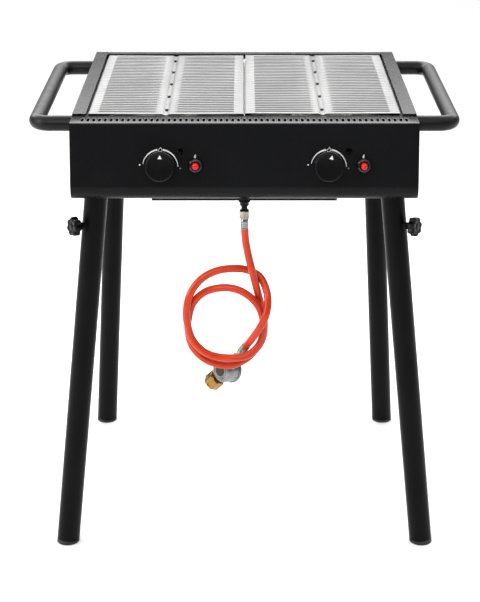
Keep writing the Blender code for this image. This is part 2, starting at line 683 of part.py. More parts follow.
def make_drip_tray(mat):
    """Open tray that hangs by its rim on the runners and slides out to the rear."""
    t = 0.0012
    rim_top = RUNNER_TOP + GAP + t
    low = TRAY_LOW
    y0, y1 = BULKHEAD_Y + 0.006, REAR - 0.004
    outside = TRAY_HALF
    rim = TRAY_HALF + TRAY_RIM
    tray = boxes("drip_tray", [((-outside, y0, low), (outside, y1, rim_top))], mat)
    inside = boxes("tray_inside", [((-outside + t, y0 + t, low + t),
                                    (outside - t, y1 - t, rim_top + 0.01))])
    rims = boxes("tray_rims", [((-rim, y0, rim_top - t), (-outside + 0.0004, y1, rim_top)),
                               ((outside - 0.0004, y0, rim_top - t), (rim, y1, rim_top))])
    front = REAR + 0.0005
    plate = prism("tray_plate", [(y1 - 0.0005, rim_top), (y1 - 0.0005, rim_top - t),
                  (front, rim_top - t), (front, 0.6990), (front + TRAY_PULL, 0.6955),
                  (front + TRAY_PULL, 0.6970), (front + t, 0.7002), (front + t, rim_top)],
                  "X", -0.255, 0.255)
    for part, operation in ((rims, "UNION"), (plate, "UNION"), (inside, "DIFFERENCE")):
        boolean(tray, part, operation)
    return tray


# ---------------------------------------------------------------- legs
def leg_frame(side, end):
    """Local Z points up along the leg, from its foot at the floor; also its length."""
    s = sign_of(side)
    e = -1 if end == "front" else 1
    foot_x, foot_y = LEG_FOOT_FRONT if end == "front" else LEG_FOOT_REAR
    foot = Vector((s * foot_x, BODY_Y + e * foot_y, 0.0))
    top = Vector((s * LEG_TOP[0], BODY_Y + e * LEG_TOP[1], LEG_TOP_Z))
    return frame_along(foot, top - foot, up=(0, 1, 0)), (top - foot).length


def star_frame(side, end):
    """Local Z points out of the leg, square to it, at the height of the clamping knob."""
    frame, length = leg_frame(side, end)
    e = -1 if end == "front" else 1
    axis = (frame @ Vector((0, 0, 1))) - frame.translation
    centre = frame.translation + axis * (STAR_Z / axis.z)
    outward = Vector((sign_of(side) * math.cos(STAR_ANGLE), e * math.sin(STAR_ANGLE), 0.0))
    outward = (outward - axis * outward.dot(axis)).normalized()
    return frame_along(centre, outward, up=axis)


def ring(name, outer, inner, low, high, segments, mat=None, matrix=None):
    profile = [(outer, low), (outer, high), (inner, high), (inner, low)]
    return lathe(name, profile, segments, mat, matrix)


def make_leg_socket(side, end, mat):
    """Plate under the side flange with a stub tube that the leg slips over."""
    s = sign_of(side)
    e = -1 if end == "front" else 1
    frame, length = leg_frame(side, end)
    label = f"{end}_{side}"
    stub = ring(f"leg_socket_{label}", SOCKET_RADIUS, SOCKET_RADIUS - 0.002,
                length - SOCKET_LENGTH, length + 0.02, LEG_SIDES, mat, frame)
    above = boxes(f"stub_trim_{label}", [ordered((s * 0.2, BODY_Y + e * 0.19, 0.6862),
                                                 (s * 0.35, BODY_Y + e * 0.30, 0.75))])
    y_out = 0.2575 if end == "front" else 0.262
    plate = boxes(f"socket_plate_{label}",
                  [ordered((s * 0.235, BODY_Y + e * 0.2005, 0.6847),
                           (s * 0.3030, BODY_Y + e * y_out, SIDE_BOTTOM - GAP))])
    boolean(stub, above, "DIFFERENCE")
    boolean(stub, plate, "UNION")
    return stub


def make_leg(side, end, mat):
    frame, length = leg_frame(side, end)
    label = f"{end}_{side}"
    leg = ring(f"leg_{label}", LEG_RADIUS, LEG_RADIUS - LEG_WALL, CAP_RIM + GAP, length,
               LEG_SIDES, mat, frame)
    place = star_frame(side, end)
    boss = lathe(f"boss_{label}", [(0.0, 0.0198), (0.0065, 0.0198), (0.0065, 0.0265),
                 (0.0, 0.0265)], 16, matrix=place)
    hole = lathe(f"screw_hole_{label}", [(0.0, 0.010), (0.0043, 0.010), (0.0043, 0.040),
                 (0.0, 0.040)], 12, matrix=place)
    boolean(leg, boss, "UNION")
    boolean(leg, hole, "DIFFERENCE")
    return leg


def make_foot_cap(side, end, mat):
    """Plastic plug in the leg's end; its rim is cut level, so it stands flat on the floor."""
    frame, length = leg_frame(side, end)
    label = f"{end}_{side}"
    profile = [(0.0, -0.008), (LEG_RADIUS, -0.008), (LEG_RADIUS, CAP_RIM),
               (SOCKET_RADIUS - 0.0003, CAP_RIM), (SOCKET_RADIUS - 0.0003, CAP_RIM + 0.018),
               (0.0, CAP_RIM + 0.018)]
    cap = lathe(f"foot_cap_{label}", profile, LEG_SIDES, mat, frame)
    centre = frame.translation
    below = boxes(f"floor_trim_{label}", [((centre.x - 0.05, centre.y - 0.05, -0.05),
                                           (centre.x + 0.05, centre.y + 0.05, 0.0))])
    boolean(cap, below, "DIFFERENCE")
    return cap


def star_outline(lobes=7, radius=0.0160, depth=0.0018):
    points = []
    for i in range(lobes * 6):
        angle = 2 * math.pi * i / (lobes * 6)
        r = radius + depth * math.cos(lobes * angle)
        points.append((r * math.cos(angle), r * math.sin(angle)))
    return points


def make_star_knob(side, end, mat):
    """Seven-lobed clamping knob moulded on its screw, which bears on the stub in the leg."""
    place = star_frame(side, end)
    label = f"{end}_{side}"
    head = link(f"star_knob_{label}",
                prism_mesh("star", star_outline(), "Z", 0.0335, 0.0470), mat, place)
    stud = lathe(f"star_stud_{label}", [(0.0, SOCKET_RADIUS + GAP), (0.0039, SOCKET_RADIUS + GAP),
                 (0.0039, 0.0290), (0.0075, 0.0290), (0.0095, 0.0345), (0.0, 0.0345)], 12,
                 matrix=place)
    boolean(head, stud, "UNION")
    return head


# ---------------------------------------------------------------- hose and regulator
def make_hose(mats):
    inlet_low = BOTTOM_Z - 0.0058 - 0.0190 - GAP
    nut_frame = Matrix.Translation((0, INLET_Y, inlet_low - 0.0147))
    hex_nut("hose_nut", 0.0165, 0.0147, 0.0045, mats["nickel"], nut_frame)
    ferrule_top = inlet_low - 0.0147 - GAP
    ferrule_low = HOSE_ROUTE[0][2] + 0.0007
    ring_profile = [(0.0040, ferrule_top), (0.0066, ferrule_top), (0.0072, ferrule_top - 0.003),
                    (0.0072, ferrule_low), (0.0040, ferrule_low)]
    lathe("hose_ferrule", ring_profile, 20, mats["chrome"], Matrix.Translation((0, INLET_Y, 0)))
    points = smooth_route(HOSE_ROUTE, HOSE_POINTS)
    tube("gas_hose", points, HOSE_RADIUS, mats["hose"])
    make_regulator(Vector(HOSE_ROUTE[-1]), mats)


def make_regulator(hose_end, mats):
    """Hose-end fitting, diaphragm housing with its two pipes, and the bottle nut."""
    along = frame_along(hose_end, REGULATOR_AXIS)
    fitting_end = 0.0385
    fitting = [(0.0, 0.0010), (0.0077, 0.0010), (0.0077, 0.0155), (0.0086, 0.0160),
               (0.0086, 0.0235), (0.0062, 0.0240), (0.0062, fitting_end), (0.0, fitting_end)]
    lathe("hose_end_fitting", fitting, 18, mats["chrome"], along)
    centre = hose_end + REGULATOR_AXIS * DRUM_DISTANCE
    body_profile = [(0.0, -0.0180), (0.0190, -0.0180), (0.0250, -0.0145), (0.0265, -0.0125),
                    (0.0265, -0.0085), (0.0240, -0.0080), (0.0235, 0.0110), (0.0225, 0.0140),
                    (0.0190, 0.0170), (0.0, 0.0180)]
    body = lathe("regulator_body", body_profile, 24, mats["zinc"], frame_along(centre, DRUM_AXIS))
    bottle = frame_along(centre, BOTTLE_AXIS)
    for name, start, stop, place in (
            ("regulator_inlet", fitting_end + GAP, DRUM_DISTANCE, along),
            ("regulator_outlet", 0.0, BOTTLE_NUT_START - GAP, bottle)):
        pipe = lathe(name, [(0.0, start), (PIPE_RADIUS, start), (PIPE_RADIUS, stop),
                            (0.0, stop)], 16, matrix=place)
        boolean(body, pipe, "UNION")
    hex_nut("regulator_nut", 0.0300, 0.0230, 0.0070, mats["brass"],
            bottle @ Matrix.Translation((0, 0, BOTTLE_NUT_START)))


# ---------------------------------------------------------------- assembly
def make_materials():
    return {
        "paint": material("black_paint", PAINT, 0.45),
        "inner": material("inner_black", (0.02, 0.02, 0.021, 1.0), 0.6),
        "steel": material("stainless", STEEL, 0.28, 1.0),
        "knob": material("knob_black", (0.015, 0.015, 0.017, 1.0), 0.35),
        "red": material("button_red", (0.75, 0.02, 0.03, 1.0), 0.3),
        "brass": material("brass", (0.62, 0.42, 0.16, 1.0), 0.28, 1.0),
        "nickel": material("nickel", (0.70, 0.68, 0.58, 1.0), 0.25, 1.0),
        "chrome": material("chrome", (0.75, 0.75, 0.76, 1.0), 0.12, 1.0),
        "zinc": material("zinc", (0.45, 0.46, 0.46, 1.0), 0.38, 1.0),
        "hose": material("hose_orange", (0.80, 0.09, 0.03, 1.0), 0.35),
        "ceramic": material("ceramic", (0.85, 0.83, 0.78, 1.0), 0.35),
    }


def make_controls(side, mats):
    x = sign_of(side) * KNOB_X
    frame = control_frame(x, CONTROL_Z)
    make_valve(side, frame, mats["brass"])
    make_valve_plug(side, frame, mats["brass"])
    make_injector(side, frame, mats["brass"])
    make_spindle(side, frame, mats["steel"])
    make_knob(side, frame, mats["knob"])
    igniter = control_frame(x + IGNITER_OFFSET[0], CONTROL_Z + IGNITER_OFFSET[1])
    make_igniter(side, igniter, mats["knob"])
    make_igniter_button(side, igniter, mats["red"])
    make_electrode(side, mats["ceramic"])
    make_ignition_lead(side, igniter, mats["knob"])


def main():
    clear_scene()
    mats = make_materials()
    make_front_panel(mats["paint"])
    make_rear_panel(mats["paint"])
    make_control_box_floor(mats["paint"])
    make_bulkhead(mats["inner"])
    make_centre_bar(mats["inner"])
    make_drip_tray(mats["steel"])
    frame = control_frame(0.0, CONTROL_Z)
    make_manifold(mats["inner"], frame)
    make_gas_inlet(mats["inner"], (frame @ Vector((0, -0.0225, -0.028))).z)
    for side in ("left", "right"):
        make_side_panel(side, mats["paint"])
        make_handle(side, mats["paint"])
        make_tray_runner(side, mats["inner"])
        make_grate(side, mats["steel"])
        make_burner(side, mats["steel"])
        make_deflector(side, mats["steel"])
        make_controls(side, mats)
    for side, end in CORNERS:
        make_leg_socket(side, end, mats["paint"])
        make_leg(side, end, mats["paint"])
        make_foot_cap(side, end, mats["knob"])
        make_star_knob(side, end, mats["knob"])
    make_hose(mats)


main()
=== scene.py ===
"""Looks of a two-burner gas charbroiler grill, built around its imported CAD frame.

Metres, +Z up, +X to the right of somebody who stands at the knobs, +Y to the rear. The pieces lie
where the CAD nodes lie, ride on the CAD bodies and carry procedural materials.
"""
import math

import bmesh
import bpy
from mathutils import Matrix, Vector


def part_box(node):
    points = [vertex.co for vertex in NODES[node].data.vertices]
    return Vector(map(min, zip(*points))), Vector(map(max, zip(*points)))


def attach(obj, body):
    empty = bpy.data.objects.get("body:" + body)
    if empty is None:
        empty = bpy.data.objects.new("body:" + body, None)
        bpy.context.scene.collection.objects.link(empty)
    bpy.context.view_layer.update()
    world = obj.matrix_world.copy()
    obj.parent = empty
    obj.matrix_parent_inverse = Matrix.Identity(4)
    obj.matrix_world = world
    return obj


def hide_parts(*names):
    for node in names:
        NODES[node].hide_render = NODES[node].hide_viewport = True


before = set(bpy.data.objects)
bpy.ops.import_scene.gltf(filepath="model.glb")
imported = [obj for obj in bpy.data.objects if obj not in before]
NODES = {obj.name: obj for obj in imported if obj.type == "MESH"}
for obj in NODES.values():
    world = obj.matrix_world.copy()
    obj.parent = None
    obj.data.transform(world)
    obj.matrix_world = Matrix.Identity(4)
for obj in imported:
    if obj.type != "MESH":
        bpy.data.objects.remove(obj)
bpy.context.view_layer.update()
SIDES = ("left", "right")
CORNERS = tuple((end, side) for end in ("front", "rear") for side in SIDES)

# ---------------------------------------------------------------- dimensions of the CAD frame
BODY_Y = 0.0115
FRONT = -0.2685
HALF = 0.305
TOP_Z, LEDGE_Z, BOTTOM_Z = 0.825, 0.822, 0.684
LEDGE_DEPTH = 0.054
PANEL_LEAN = math.radians(9)
RAIL_WIDTH = 0.024
KNOB_X, CONTROL_Z = 0.147, 0.749
IGNITER_X = 0.0615           # from the knob's axis
SIGHT_X, SIGHT_RISE = 0.035, 0.0245
VENT_COUNT, VENT_PITCH, VENT_SIZE, VENT_Y = 57, 0.01015, (0.0050, 0.019), FRONT + 0.023
DIAL_DROP = 0.003            # the printed dial sits a little low round its knob
HANDLE_X, HANDLE_Z, HANDLE_RADIUS, HANDLE_BEND = 0.373, 0.803, 0.014, 0.026
HANDLE_ENDS = (BODY_Y - 0.208, BODY_Y + 0.230)
LEG_RADIUS, LEG_TOP_Z = 0.021, 0.6815
LEG_TOP = (0.265, 0.235)
LEG_FEET = {"front": (0.3345, 0.267), "rear": (0.3035, 0.267)}
STAR_Z, STAR_ANGLE = 0.622, math.radians(35)
INLET_Y = FRONT + 0.0127
HOSE_RADIUS = 0.007
GRATE_OUTER = HALF - RAIL_WIDTH - 0.004
GRATE_SEAM = 0.0004
GRATE_FRONT, GRATE_LENGTH, GRATE_STAGGER = FRONT + LEDGE_DEPTH + 0.002, 0.473, 0.0015
OUTER_MARGIN, INNER_MARGIN, FIELD_WIDTH = 0.017, 0.0185, 0.102
VALLEY_X = INNER_MARGIN + FIELD_WIDTH + INNER_MARGIN
VALLEY_HALF, VALLEY_DEPTH, PLATE_FALL = 0.0075, 0.0022, 0.0006
SLIT_COUNT, SLIT_PITCH, SLIT_SIZE = 35, 0.013, 0.0042
SLIT_LIP = ((-0.0036, 0.0002), (-0.0027, 0.0008), (-SLIT_SIZE / 2, 0.0017))   # (y, fall)
PLATE_ROLL = ((0.0, 0.0007), (0.0006, 0.0002), (0.0016, 0.0))   # (distance from an end, fall)
DRAIN_COUNT, DRAIN_PITCH, DRAIN_FIRST, DRAIN_SIZE = 5, 0.0983, 0.034, (0.0058, 0.018)
NOTCH_LENGTH = 0.058

HOSE_ROUTE = (
    (0.0008, -0.2558, 0.6237), (0.0013, -0.2558, 0.6110), (0.0034, -0.2558, 0.5937),
    (0.0085, -0.2556, 0.5678), (0.0153, -0.2556, 0.5389), (0.0240, -0.2490, 0.5010),
    (0.0318, -0.2427, 0.4666), (0.0364, -0.2410, 0.4375), (0.0340, -0.2400, 0.4086),
    (0.0212, -0.2405, 0.3853), (-0.0004, -0.2440, 0.3654), (-0.0308, -0.2458, 0.3558),
    (-0.0680, -0.2460, 0.3657), (-0.0940, -0.2465, 0.3919), (-0.1030, -0.2470, 0.4273),
    (-0.0998, -0.2475, 0.4603), (-0.0900, -0.2490, 0.4845), (-0.0690, -0.2505, 0.5032),
    (-0.0382, -0.2530, 0.5113), (-0.0105, -0.2560, 0.5076), (0.0122, -0.2592, 0.4940),
    (0.0274, -0.2592, 0.4735), (0.0338, -0.2565, 0.4495), (0.0343, -0.2550, 0.4236),
    (0.0252, -0.2552, 0.3982), (0.0030, -0.2592, 0.3805), (-0.0308, -0.2618, 0.3776),
    (-0.0670, -0.2625, 0.3859), (-0.0920, -0.2630, 0.4097), (-0.1020, -0.2630, 0.4382),
    (-0.1050, -0.2620, 0.4707), (-0.0972, -0.2590, 0.5024), (-0.0785, -0.2540, 0.5274),
    (-0.0508, -0.2460, 0.5407), (-0.0180, -0.2405, 0.5436), (0.0090, -0.2385, 0.5389),
    (0.0278, -0.2425, 0.5286), (0.0387, -0.2530, 0.5099), (0.0425, -0.2650, 0.4890),
    (0.0385, -0.2725, 0.4642), (0.0280, -0.2710, 0.4407), (0.0156, -0.2623, 0.4179),
    (0.0035, -0.2480, 0.3961),
)
REGULATOR_AXIS = Vector((-0.42, 0.50, -0.76)).normalized()
DRUM_AXIS = Vector((-0.70, -0.69, 0.17)).normalized()
BOTTLE_AXIS = Vector((-0.60, 0.35, -0.72)).normalized()
DRUM_DISTANCE, BOTTLE_NUT_START = 0.087, 0.0275


# ---------------------------------------------------------------- places
def sign_of(side):
    return -1 if side == "left" else 1


def frame_along(origin, direction, up=(0, 0, 1)):
    """A matrix whose local Z runs along `direction`, with local Y as near `up` as it can be."""
    z = Vector(direction).normalized()
    x = Vector(up).cross(z).normalized()
    y = z.cross(x)
    matrix = Matrix((x, y, z)).transposed().to_4x4()
    matrix.translation = origin
    return matrix


def control_frame(x, z=CONTROL_Z):
    """Local Z points out of the front panel, local Y up along it, and Z = 0 is its surface."""
    y = FRONT - (LEDGE_Z - z) * math.tan(PANEL_LEAN)
    outward = Vector((0, -math.cos(PANEL_LEAN), math.sin(PANEL_LEAN)))
    return frame_along((x, y, z), outward)


def leg_frame(end, side):
    """Local Z points up along the leg, from its foot at the floor; also its length."""
    s, e = sign_of(side), -1 if end == "front" else 1
    foot_x, foot_y = LEG_FEET[end]
    foot = Vector((s * foot_x, BODY_Y + e * foot_y, 0.0))
    top = Vector((s * LEG_TOP[0], BODY_Y + e * LEG_TOP[1], LEG_TOP_Z))
    return frame_along(foot, top - foot, up=(0, 1, 0)), (top - foot).length


def star_frame(end, side):
    """Local Z points out of the leg, square to it, at the height of the clamping knob."""
    place, _ = leg_frame(end, side)
    axis = place.col[2].to_3d()
    centre = place.translation + axis * (STAR_Z / axis.z)
    e = -1 if end == "front" else 1
    outward = Vector((sign_of(side) * math.cos(STAR_ANGLE), e * math.sin(STAR_ANGLE), 0.0))
    outward = (outward - axis * outward.dot(axis)).normalized()
    return frame_along(centre, outward, up=axis)


def smooth_route(route, count):
    """Points at even spacing along a smooth curve through the route's own points; its length."""
    pts = [Vector(p) for p in route]
    pts = [2 * pts[0] - pts[1]] + pts + [2 * pts[-1] - pts[-2]]
    dense, steps = [], 24
    for a, b, c, d in zip(pts, pts[1:], pts[2:], pts[3:]):
        for step in range(steps):
            t = step / steps
            dense.append(0.5 * (2 * b + (c - a) * t + (2 * a - 5 * b + 4 * c - d) * t ** 2
                                + (3 * b - a - 3 * c + d) * t ** 3))
    dense.append(pts[-2])
    lengths = [0.0]
    for a, b in zip(dense, dense[1:]):
        lengths.append(lengths[-1] + (b - a).length)
    even = []
    i = 0
    for k in range(count):
        target = lengths[-1] * k / (count - 1)
        while i < len(dense) - 2 and lengths[i + 1] < target:
            i += 1
        share = (target - lengths[i]) / (lengths[i + 1] - lengths[i])
        even.append(dense[i].lerp(dense[i + 1], min(max(share, 0.0), 1.0)))
    return even, lengths[-1]


# ---------------------------------------------------------------- camera, light and floor
CAMERA_LENS, CAMERA_SHIFT, CAMERA_PLACE, CAMERA_PITCH = (
    97.2, (-0.0073, -0.160), (0.0, -3.001, 1.553), 17.84)
WORLD_STRENGTH = 0.30
FLOOR_RADIUS = 14.0
LIGHTS = (                   # name, place, target, size in metres, power in watts
    ("overhead", (0.0, 4.0, 6.0), (0.0, 4.0, 0.0), (17.0, 17.0), 1010.0),
    ("behind", (0.0, 1.9, 2.02), (0.0, 0.0, 0.8), (5.0, 1.2), 90.0),
    ("left", (-3.2, -1.2, 1.9), (0.0, 0.0, 0.6), (1.2, 2.2), 75.0),
    ("right", (3.4, -0.6, 1.7), (0.0, 0.0, 0.6), (0.8, 2.0), 6.0),
    ("front", (-0.8, -4.2, 4.0), (0.0, 0.0, 0.6), (2.6, 1.2), 70.0),
)


def make_camera():
    """A long lens from in front and above, shifted a little to keep the legs upright."""
    data = bpy.data.cameras.new("camera")
    data.lens = CAMERA_LENS
    data.shift_x, data.shift_y = CAMERA_SHIFT
    data.dof.use_dof = False
    camera = link("camera", data)
    camera.location = CAMERA_PLACE
    camera.rotation_euler = (math.radians(90 - CAMERA_PITCH), 0.0, 0.0)
    bpy.context.scene.camera = camera


def area_light(name, place, target, size, power):
    """A rectangular softbox that faces its target."""
    data = bpy.data.lights.new(name, "AREA")
    data.shape = "RECTANGLE"
    data.size, data.size_y = size
    data.energy = power
    points_down = place[:2] == target[:2]
    up = (0, 1, 0) if points_down else (0, 0, 1)
    light = link(name, data)
    light.matrix_world = frame_along(place, Vector(place) - Vector(target), up)


def make_stage():
    """Pale floor, pale surroundings and the soft lights."""
    bm = bmesh.new()
    bmesh.ops.create_circle(bm, cap_ends=True, segments=64, radius=FLOOR_RADIUS)
    mesh = bpy.data.meshes.new("floor")
    bm.to_mesh(mesh)
    bm.free()
    floor = link("floor", mesh)
    mesh.materials.append(MATS["floor"])
    world = bpy.data.worlds.new("studio")
    bpy.context.scene.world = world
    world.use_nodes = True
    background = world.node_tree.nodes["Background"]
    background.inputs["Color"].default_value = (1.0, 1.0, 1.0, 1.0)
    background.inputs["Strength"].default_value = WORLD_STRENGTH
    for light in LIGHTS:
        area_light(*light)
    bpy.context.scene.view_settings.view_transform = "Standard"


# ---------------------------------------------------------------- materials
def add_node(tree, kind, inputs=(), **settings):
    """A node with its settings; each input is given a value, or a socket to link from."""
    node = tree.nodes.new(kind)
    for key, value in settings.items():
        setattr(node, key, value)
    for key, value in dict(inputs).items():
        if isinstance(value, bpy.types.NodeSocket):
            tree.links.new(value, node.inputs[key])
        else:
            node.inputs[key].default_value = value
    return node


def noise(tree, vector, scale, detail=3.0):
    node = add_node(tree, "ShaderNodeTexNoise",
                    {"Vector": vector, "Scale": scale, "Detail": detail})
    return node.outputs["Fac"]


def ramp(tree, factor, stops):
    """A colour ramp from (position, colour) pairs."""
    node = add_node(tree, "ShaderNodeValToRGB", {"Fac": factor})
    points = node.color_ramp.elements
    while len(points) < len(stops):
        points.new(0.5)
    for point, (position, colour) in zip(points, stops):
        point.position = position
        point.color = (*colour, 1.0)
    return node.outputs["Color"]


def surface(name, dark, light, roughness, metallic=0.0, specular=0.5, patch=9.0,
            grain=(700.0, 0.00001), brushed=None, speck=None, coat=0.0):
    """A procedural finish on the object's own coordinates, in metres.

    The colour drifts between `dark` and `light` in patches, the gloss drifts between the two
    `roughness` values, and `grain` is the (scale, height) of the fine relief. `brushed` gives the
    stretch of the relief along each axis, and `speck` is a (colour, share) of small worn points.
    """
    mat = bpy.data.materials.new(name)
    mat.use_nodes = True
    tree = mat.node_tree
    shader = tree.nodes["Principled BSDF"]
    place = add_node(tree, "ShaderNodeTexCoord").outputs["Object"]
    colour = ramp(tree, noise(tree, place, patch), [(0.3, dark), (0.7, light)])
    relief_at = place
    if brushed is not None:
        relief_at = add_node(tree, "ShaderNodeMapping",
                             {"Vector": place, "Scale": brushed}).outputs["Vector"]
    if speck is not None:
        share = add_node(tree, "ShaderNodeMapRange",
                         {"Value": noise(tree, place, 420.0, 2.0),
                          "From Min": 1.0 - speck[1], "From Max": 1.02 - speck[1]})
        mixer = add_node(tree, "ShaderNodeMixRGB",
                         {"Fac": share.outputs["Result"], "Color1": colour,
                          "Color2": (*speck[0], 1.0)})
        colour = mixer.outputs["Color"]
    tree.links.new(colour, shader.inputs["Base Color"])
    gloss = add_node(tree, "ShaderNodeMapRange",
                     {"Value": noise(tree, relief_at, patch * 3.7, 5.0),
                      "From Min": 0.3, "From Max": 0.7,
                      "To Min": roughness[0], "To Max": roughness[1]})
    tree.links.new(gloss.outputs["Result"], shader.inputs["Roughness"])
    relief = add_node(tree, "ShaderNodeBump",
                      {"Height": noise(tree, relief_at, grain[0], 2.0),
                       "Distance": grain[1], "Strength": 1.0})
    tree.links.new(relief.outputs["Normal"], shader.inputs["Normal"])
    shader.inputs["Metallic"].default_value = metallic
    shader.inputs["Specular IOR Level"].default_value = specular
    shader.inputs["Coat Weight"].default_value = coat
    return mat


MATS = {
    "paint": surface("powder_coat", (0.0046, 0.0047, 0.0053), (0.0064, 0.0066, 0.0073),
                     (0.24, 0.30), specular=0.12, patch=6.0, grain=(900.0, 0.000022),
                     speck=((0.012, 0.012, 0.013), 0.26)),
    "frame_paint": surface("tube_coat", (0.0022, 0.0022, 0.0024), (0.0036, 0.0037, 0.0040),
                           (0.32, 0.40), specular=0.08, patch=11.0, grain=(650.0, 0.000016)),
    # a lighter copy of the black tube coat: painted light that stands in for the highlights on the
    # handles
    "handle_paint": surface("textured_coat_painted_light", (0.0055, 0.0055, 0.006), (0.0085, 0.0085, 0.009),
                            (0.34, 0.44), specular=0.20, patch=11.0, grain=(650.0, 0.000020)),
    "inner": surface("heatproof_black", (0.006, 0.006, 0.006), (0.013, 0.012, 0.012),
                     (0.55, 0.75), specular=0.25, patch=14.0, grain=(500.0, 0.00003)),
    "grate": surface("brushed_stainless", (0.14, 0.14, 0.14), (0.175, 0.175, 0.173),
                     (0.30, 0.42), metallic=1.0, patch=7.0, grain=(60.0, 0.000010),
                     brushed=(1.0, 22.0, 22.0)),
    "steel": surface("sheet_stainless", (0.52, 0.52, 0.51), (0.66, 0.66, 0.65),
                     (0.26, 0.40), metallic=1.0, patch=9.0, grain=(60.0, 0.000012),
                     brushed=(1.0, 18.0, 18.0)),
    "burner": surface("burner_steel", (0.34, 0.31, 0.28), (0.56, 0.55, 0.53),
                      (0.30, 0.50), metallic=1.0, patch=16.0, grain=(420.0, 0.00001)),
    "brass": surface("machined_brass", (0.22, 0.115, 0.028), (0.46, 0.26, 0.08),
                     (0.12, 0.24), metallic=1.0, patch=60.0, grain=(900.0, 0.000006)),
    "nickel": surface("nickelled_brass", (0.26, 0.25, 0.19), (0.44, 0.42, 0.33),
                      (0.16, 0.30), metallic=1.0, patch=70.0, grain=(300.0, 0.000010)),
    "chrome": surface("bright_chrome", (0.24, 0.24, 0.25), (0.38, 0.38, 0.39),
                      (0.08, 0.18), metallic=1.0, patch=80.0, grain=(300.0, 0.000005)),
    "zinc": surface("diecast_zinc", (0.20, 0.204, 0.205), (0.33, 0.335, 0.335),
                    (0.22, 0.36), metallic=0.9, patch=45.0, grain=(900.0, 0.00006)),
    "label": surface("blank_cap_disc", (0.018, 0.020, 0.018), (0.036, 0.040, 0.032),
                     (0.28, 0.42), metallic=0.2, patch=50.0, grain=(1200.0, 0.00001)),
    "hose": surface("orange_rubber", (0.52, 0.030, 0.004), (0.64, 0.047, 0.008),
                    (0.16, 0.24), specular=0.36, patch=22.0, grain=(1400.0, 0.000010)),
    "knob": surface("moulded_black", (0.0022, 0.0022, 0.0028), (0.0036, 0.0036, 0.0042),
                    (0.26, 0.34), specular=0.14, patch=30.0, grain=(1500.0, 0.000008)),
    "collar": surface("glossy_black", (0.0020, 0.0020, 0.0022), (0.0034, 0.0034, 0.0036),
                      (0.10, 0.18), specular=0.6, patch=50.0, grain=(400.0, 0.000004)),
    "red": surface("button_red", (0.60, 0.006, 0.009), (0.74, 0.011, 0.014),
                   (0.16, 0.26), specular=0.3, patch=80.0, grain=(900.0, 0.000005), coat=0.1),
    "print": surface("white_print", (0.74, 0.74, 0.74), (0.86, 0.86, 0.85),
                     (0.40, 0.55), patch=120.0, grain=(2500.0, 0.000005)),
    "faint": surface("grey_print", (0.17, 0.17, 0.17), (0.26, 0.26, 0.26),
                     (0.40, 0.55), patch=120.0, grain=(2500.0, 0.000005)),
    "ceramic": surface("white_ceramic", (0.70, 0.68, 0.62), (0.82, 0.80, 0.75),
                       (0.20, 0.35), patch=60.0, grain=(800.0, 0.00001)),
    "wire": surface("wire_insulation", (0.010, 0.010, 0.010), (0.020, 0.020, 0.020),
                    (0.40, 0.55), patch=60.0, grain=(900.0, 0.00001)),
    "floor": surface("pale_floor", (0.88, 0.88, 0.88), (0.91, 0.91, 0.91), (0.80, 0.95),
                     specular=0.2, patch=0.6, grain=(120.0, 0.00005)),
    "cap": surface("foot_plastic", (0.010, 0.010, 0.010), (0.020, 0.020, 0.020),
                   (0.45, 0.60), specular=0.4, patch=40.0, grain=(1100.0, 0.00003)),
}


# ---------------------------------------------------------------- shapes
def circle(radius, z, segments):
    step = 2 * math.pi / segments
    return [(radius * math.cos(step * i), radius * math.sin(step * i), z)
            for i in range(segments)]


def skin(bm, rings, place=Matrix(), slot=0, loop=False):
    """Skin a row of equal rings of points; its ends are capped, or joined to each other."""
    rows = [[bm.verts.new(place @ Vector(point)) for point in ring] for ring in rings]
    faces = []
    following = rows[1:] + rows[:1] if loop else rows[1:]
    for low, high in zip(rows, following):
        for i in range(len(low)):
            j = (i + 1) % len(low)
            faces.append(bm.faces.new((low[i], low[j], high[j], high[i])))
    if not loop:
        faces.append(bm.faces.new(rows[0][::-1]))
        faces.append(bm.faces.new(rows[-1]))
    for face in faces:
        face.material_index = slot


def add_lathe(bm, profile, place=Matrix(), segments=64, slot=0, loop=False):
    """Turn a profile of (radius, height) points round the local Z axis."""
    skin(bm, [circle(r, z, segments) for r, z in profile], place, slot, loop)


def add_tube(bm, points, radius, segments):
    """Sweep a circle along a smooth row of points without letting it twist."""
    pts = [Vector(p) for p in points]
    ways = []
    for i in range(len(pts)):
        ways.append((pts[min(i + 1, len(pts) - 1)] - pts[max(i - 1, 0)]).normalized())
    side = ways[0].orthogonal().normalized()
    rings = []
    for point, way in zip(pts, ways):
        side = (side - way * side.dot(way)).normalized()
        other = way.cross(side)
        rings.append([point + side * x + other * y for x, y, _ in circle(radius, 0.0, segments)])
    skin(bm, rings)


def add_stroke(bm, path, width, low, high, place, closed=False):
    """A flat raised line along a path of (x, y) points; `width` may change along it."""
    pts = [Vector(p) for p in path]
    last = len(pts) - 1
    rings = []
    for i, point in enumerate(pts):
        before = pts[i - 1] if closed or i > 0 else point
        after = pts[(i + 1) % len(pts)] if closed or i < last else point
        way = (after - before).normalized()
        half = (width(i / last) if callable(width) else width) / 2
        across = Vector((-way.y, way.x)) * half
        corners = ((point - across, low), (point + across, low),
                   (point + across, high), (point - across, high))
        rings.append([(p.x, p.y, z) for p, z in corners])
    skin(bm, rings, place, loop=closed)


def add_plate(bm, outline, low, high, place=Matrix()):
    """A flat plate of an outline in (x, y), between two heights."""
    skin(bm, [[(x, y, z) for x, y in outline] for z in (low, high)], place)


def soften(bm, width):
    """Round every edge that turns by more than 60 degrees."""
    bm.normal_update()
    limit = math.radians(60)
    edges = [edge for edge in bm.edges
             if len(edge.link_faces) == 2 and edge.calc_face_angle(0.0) > limit]
    bmesh.ops.bevel(bm, geom=edges, offset=width, offset_type="OFFSET", segments=2,
                    profile=0.5, affect="EDGES", clamp_overlap=True)


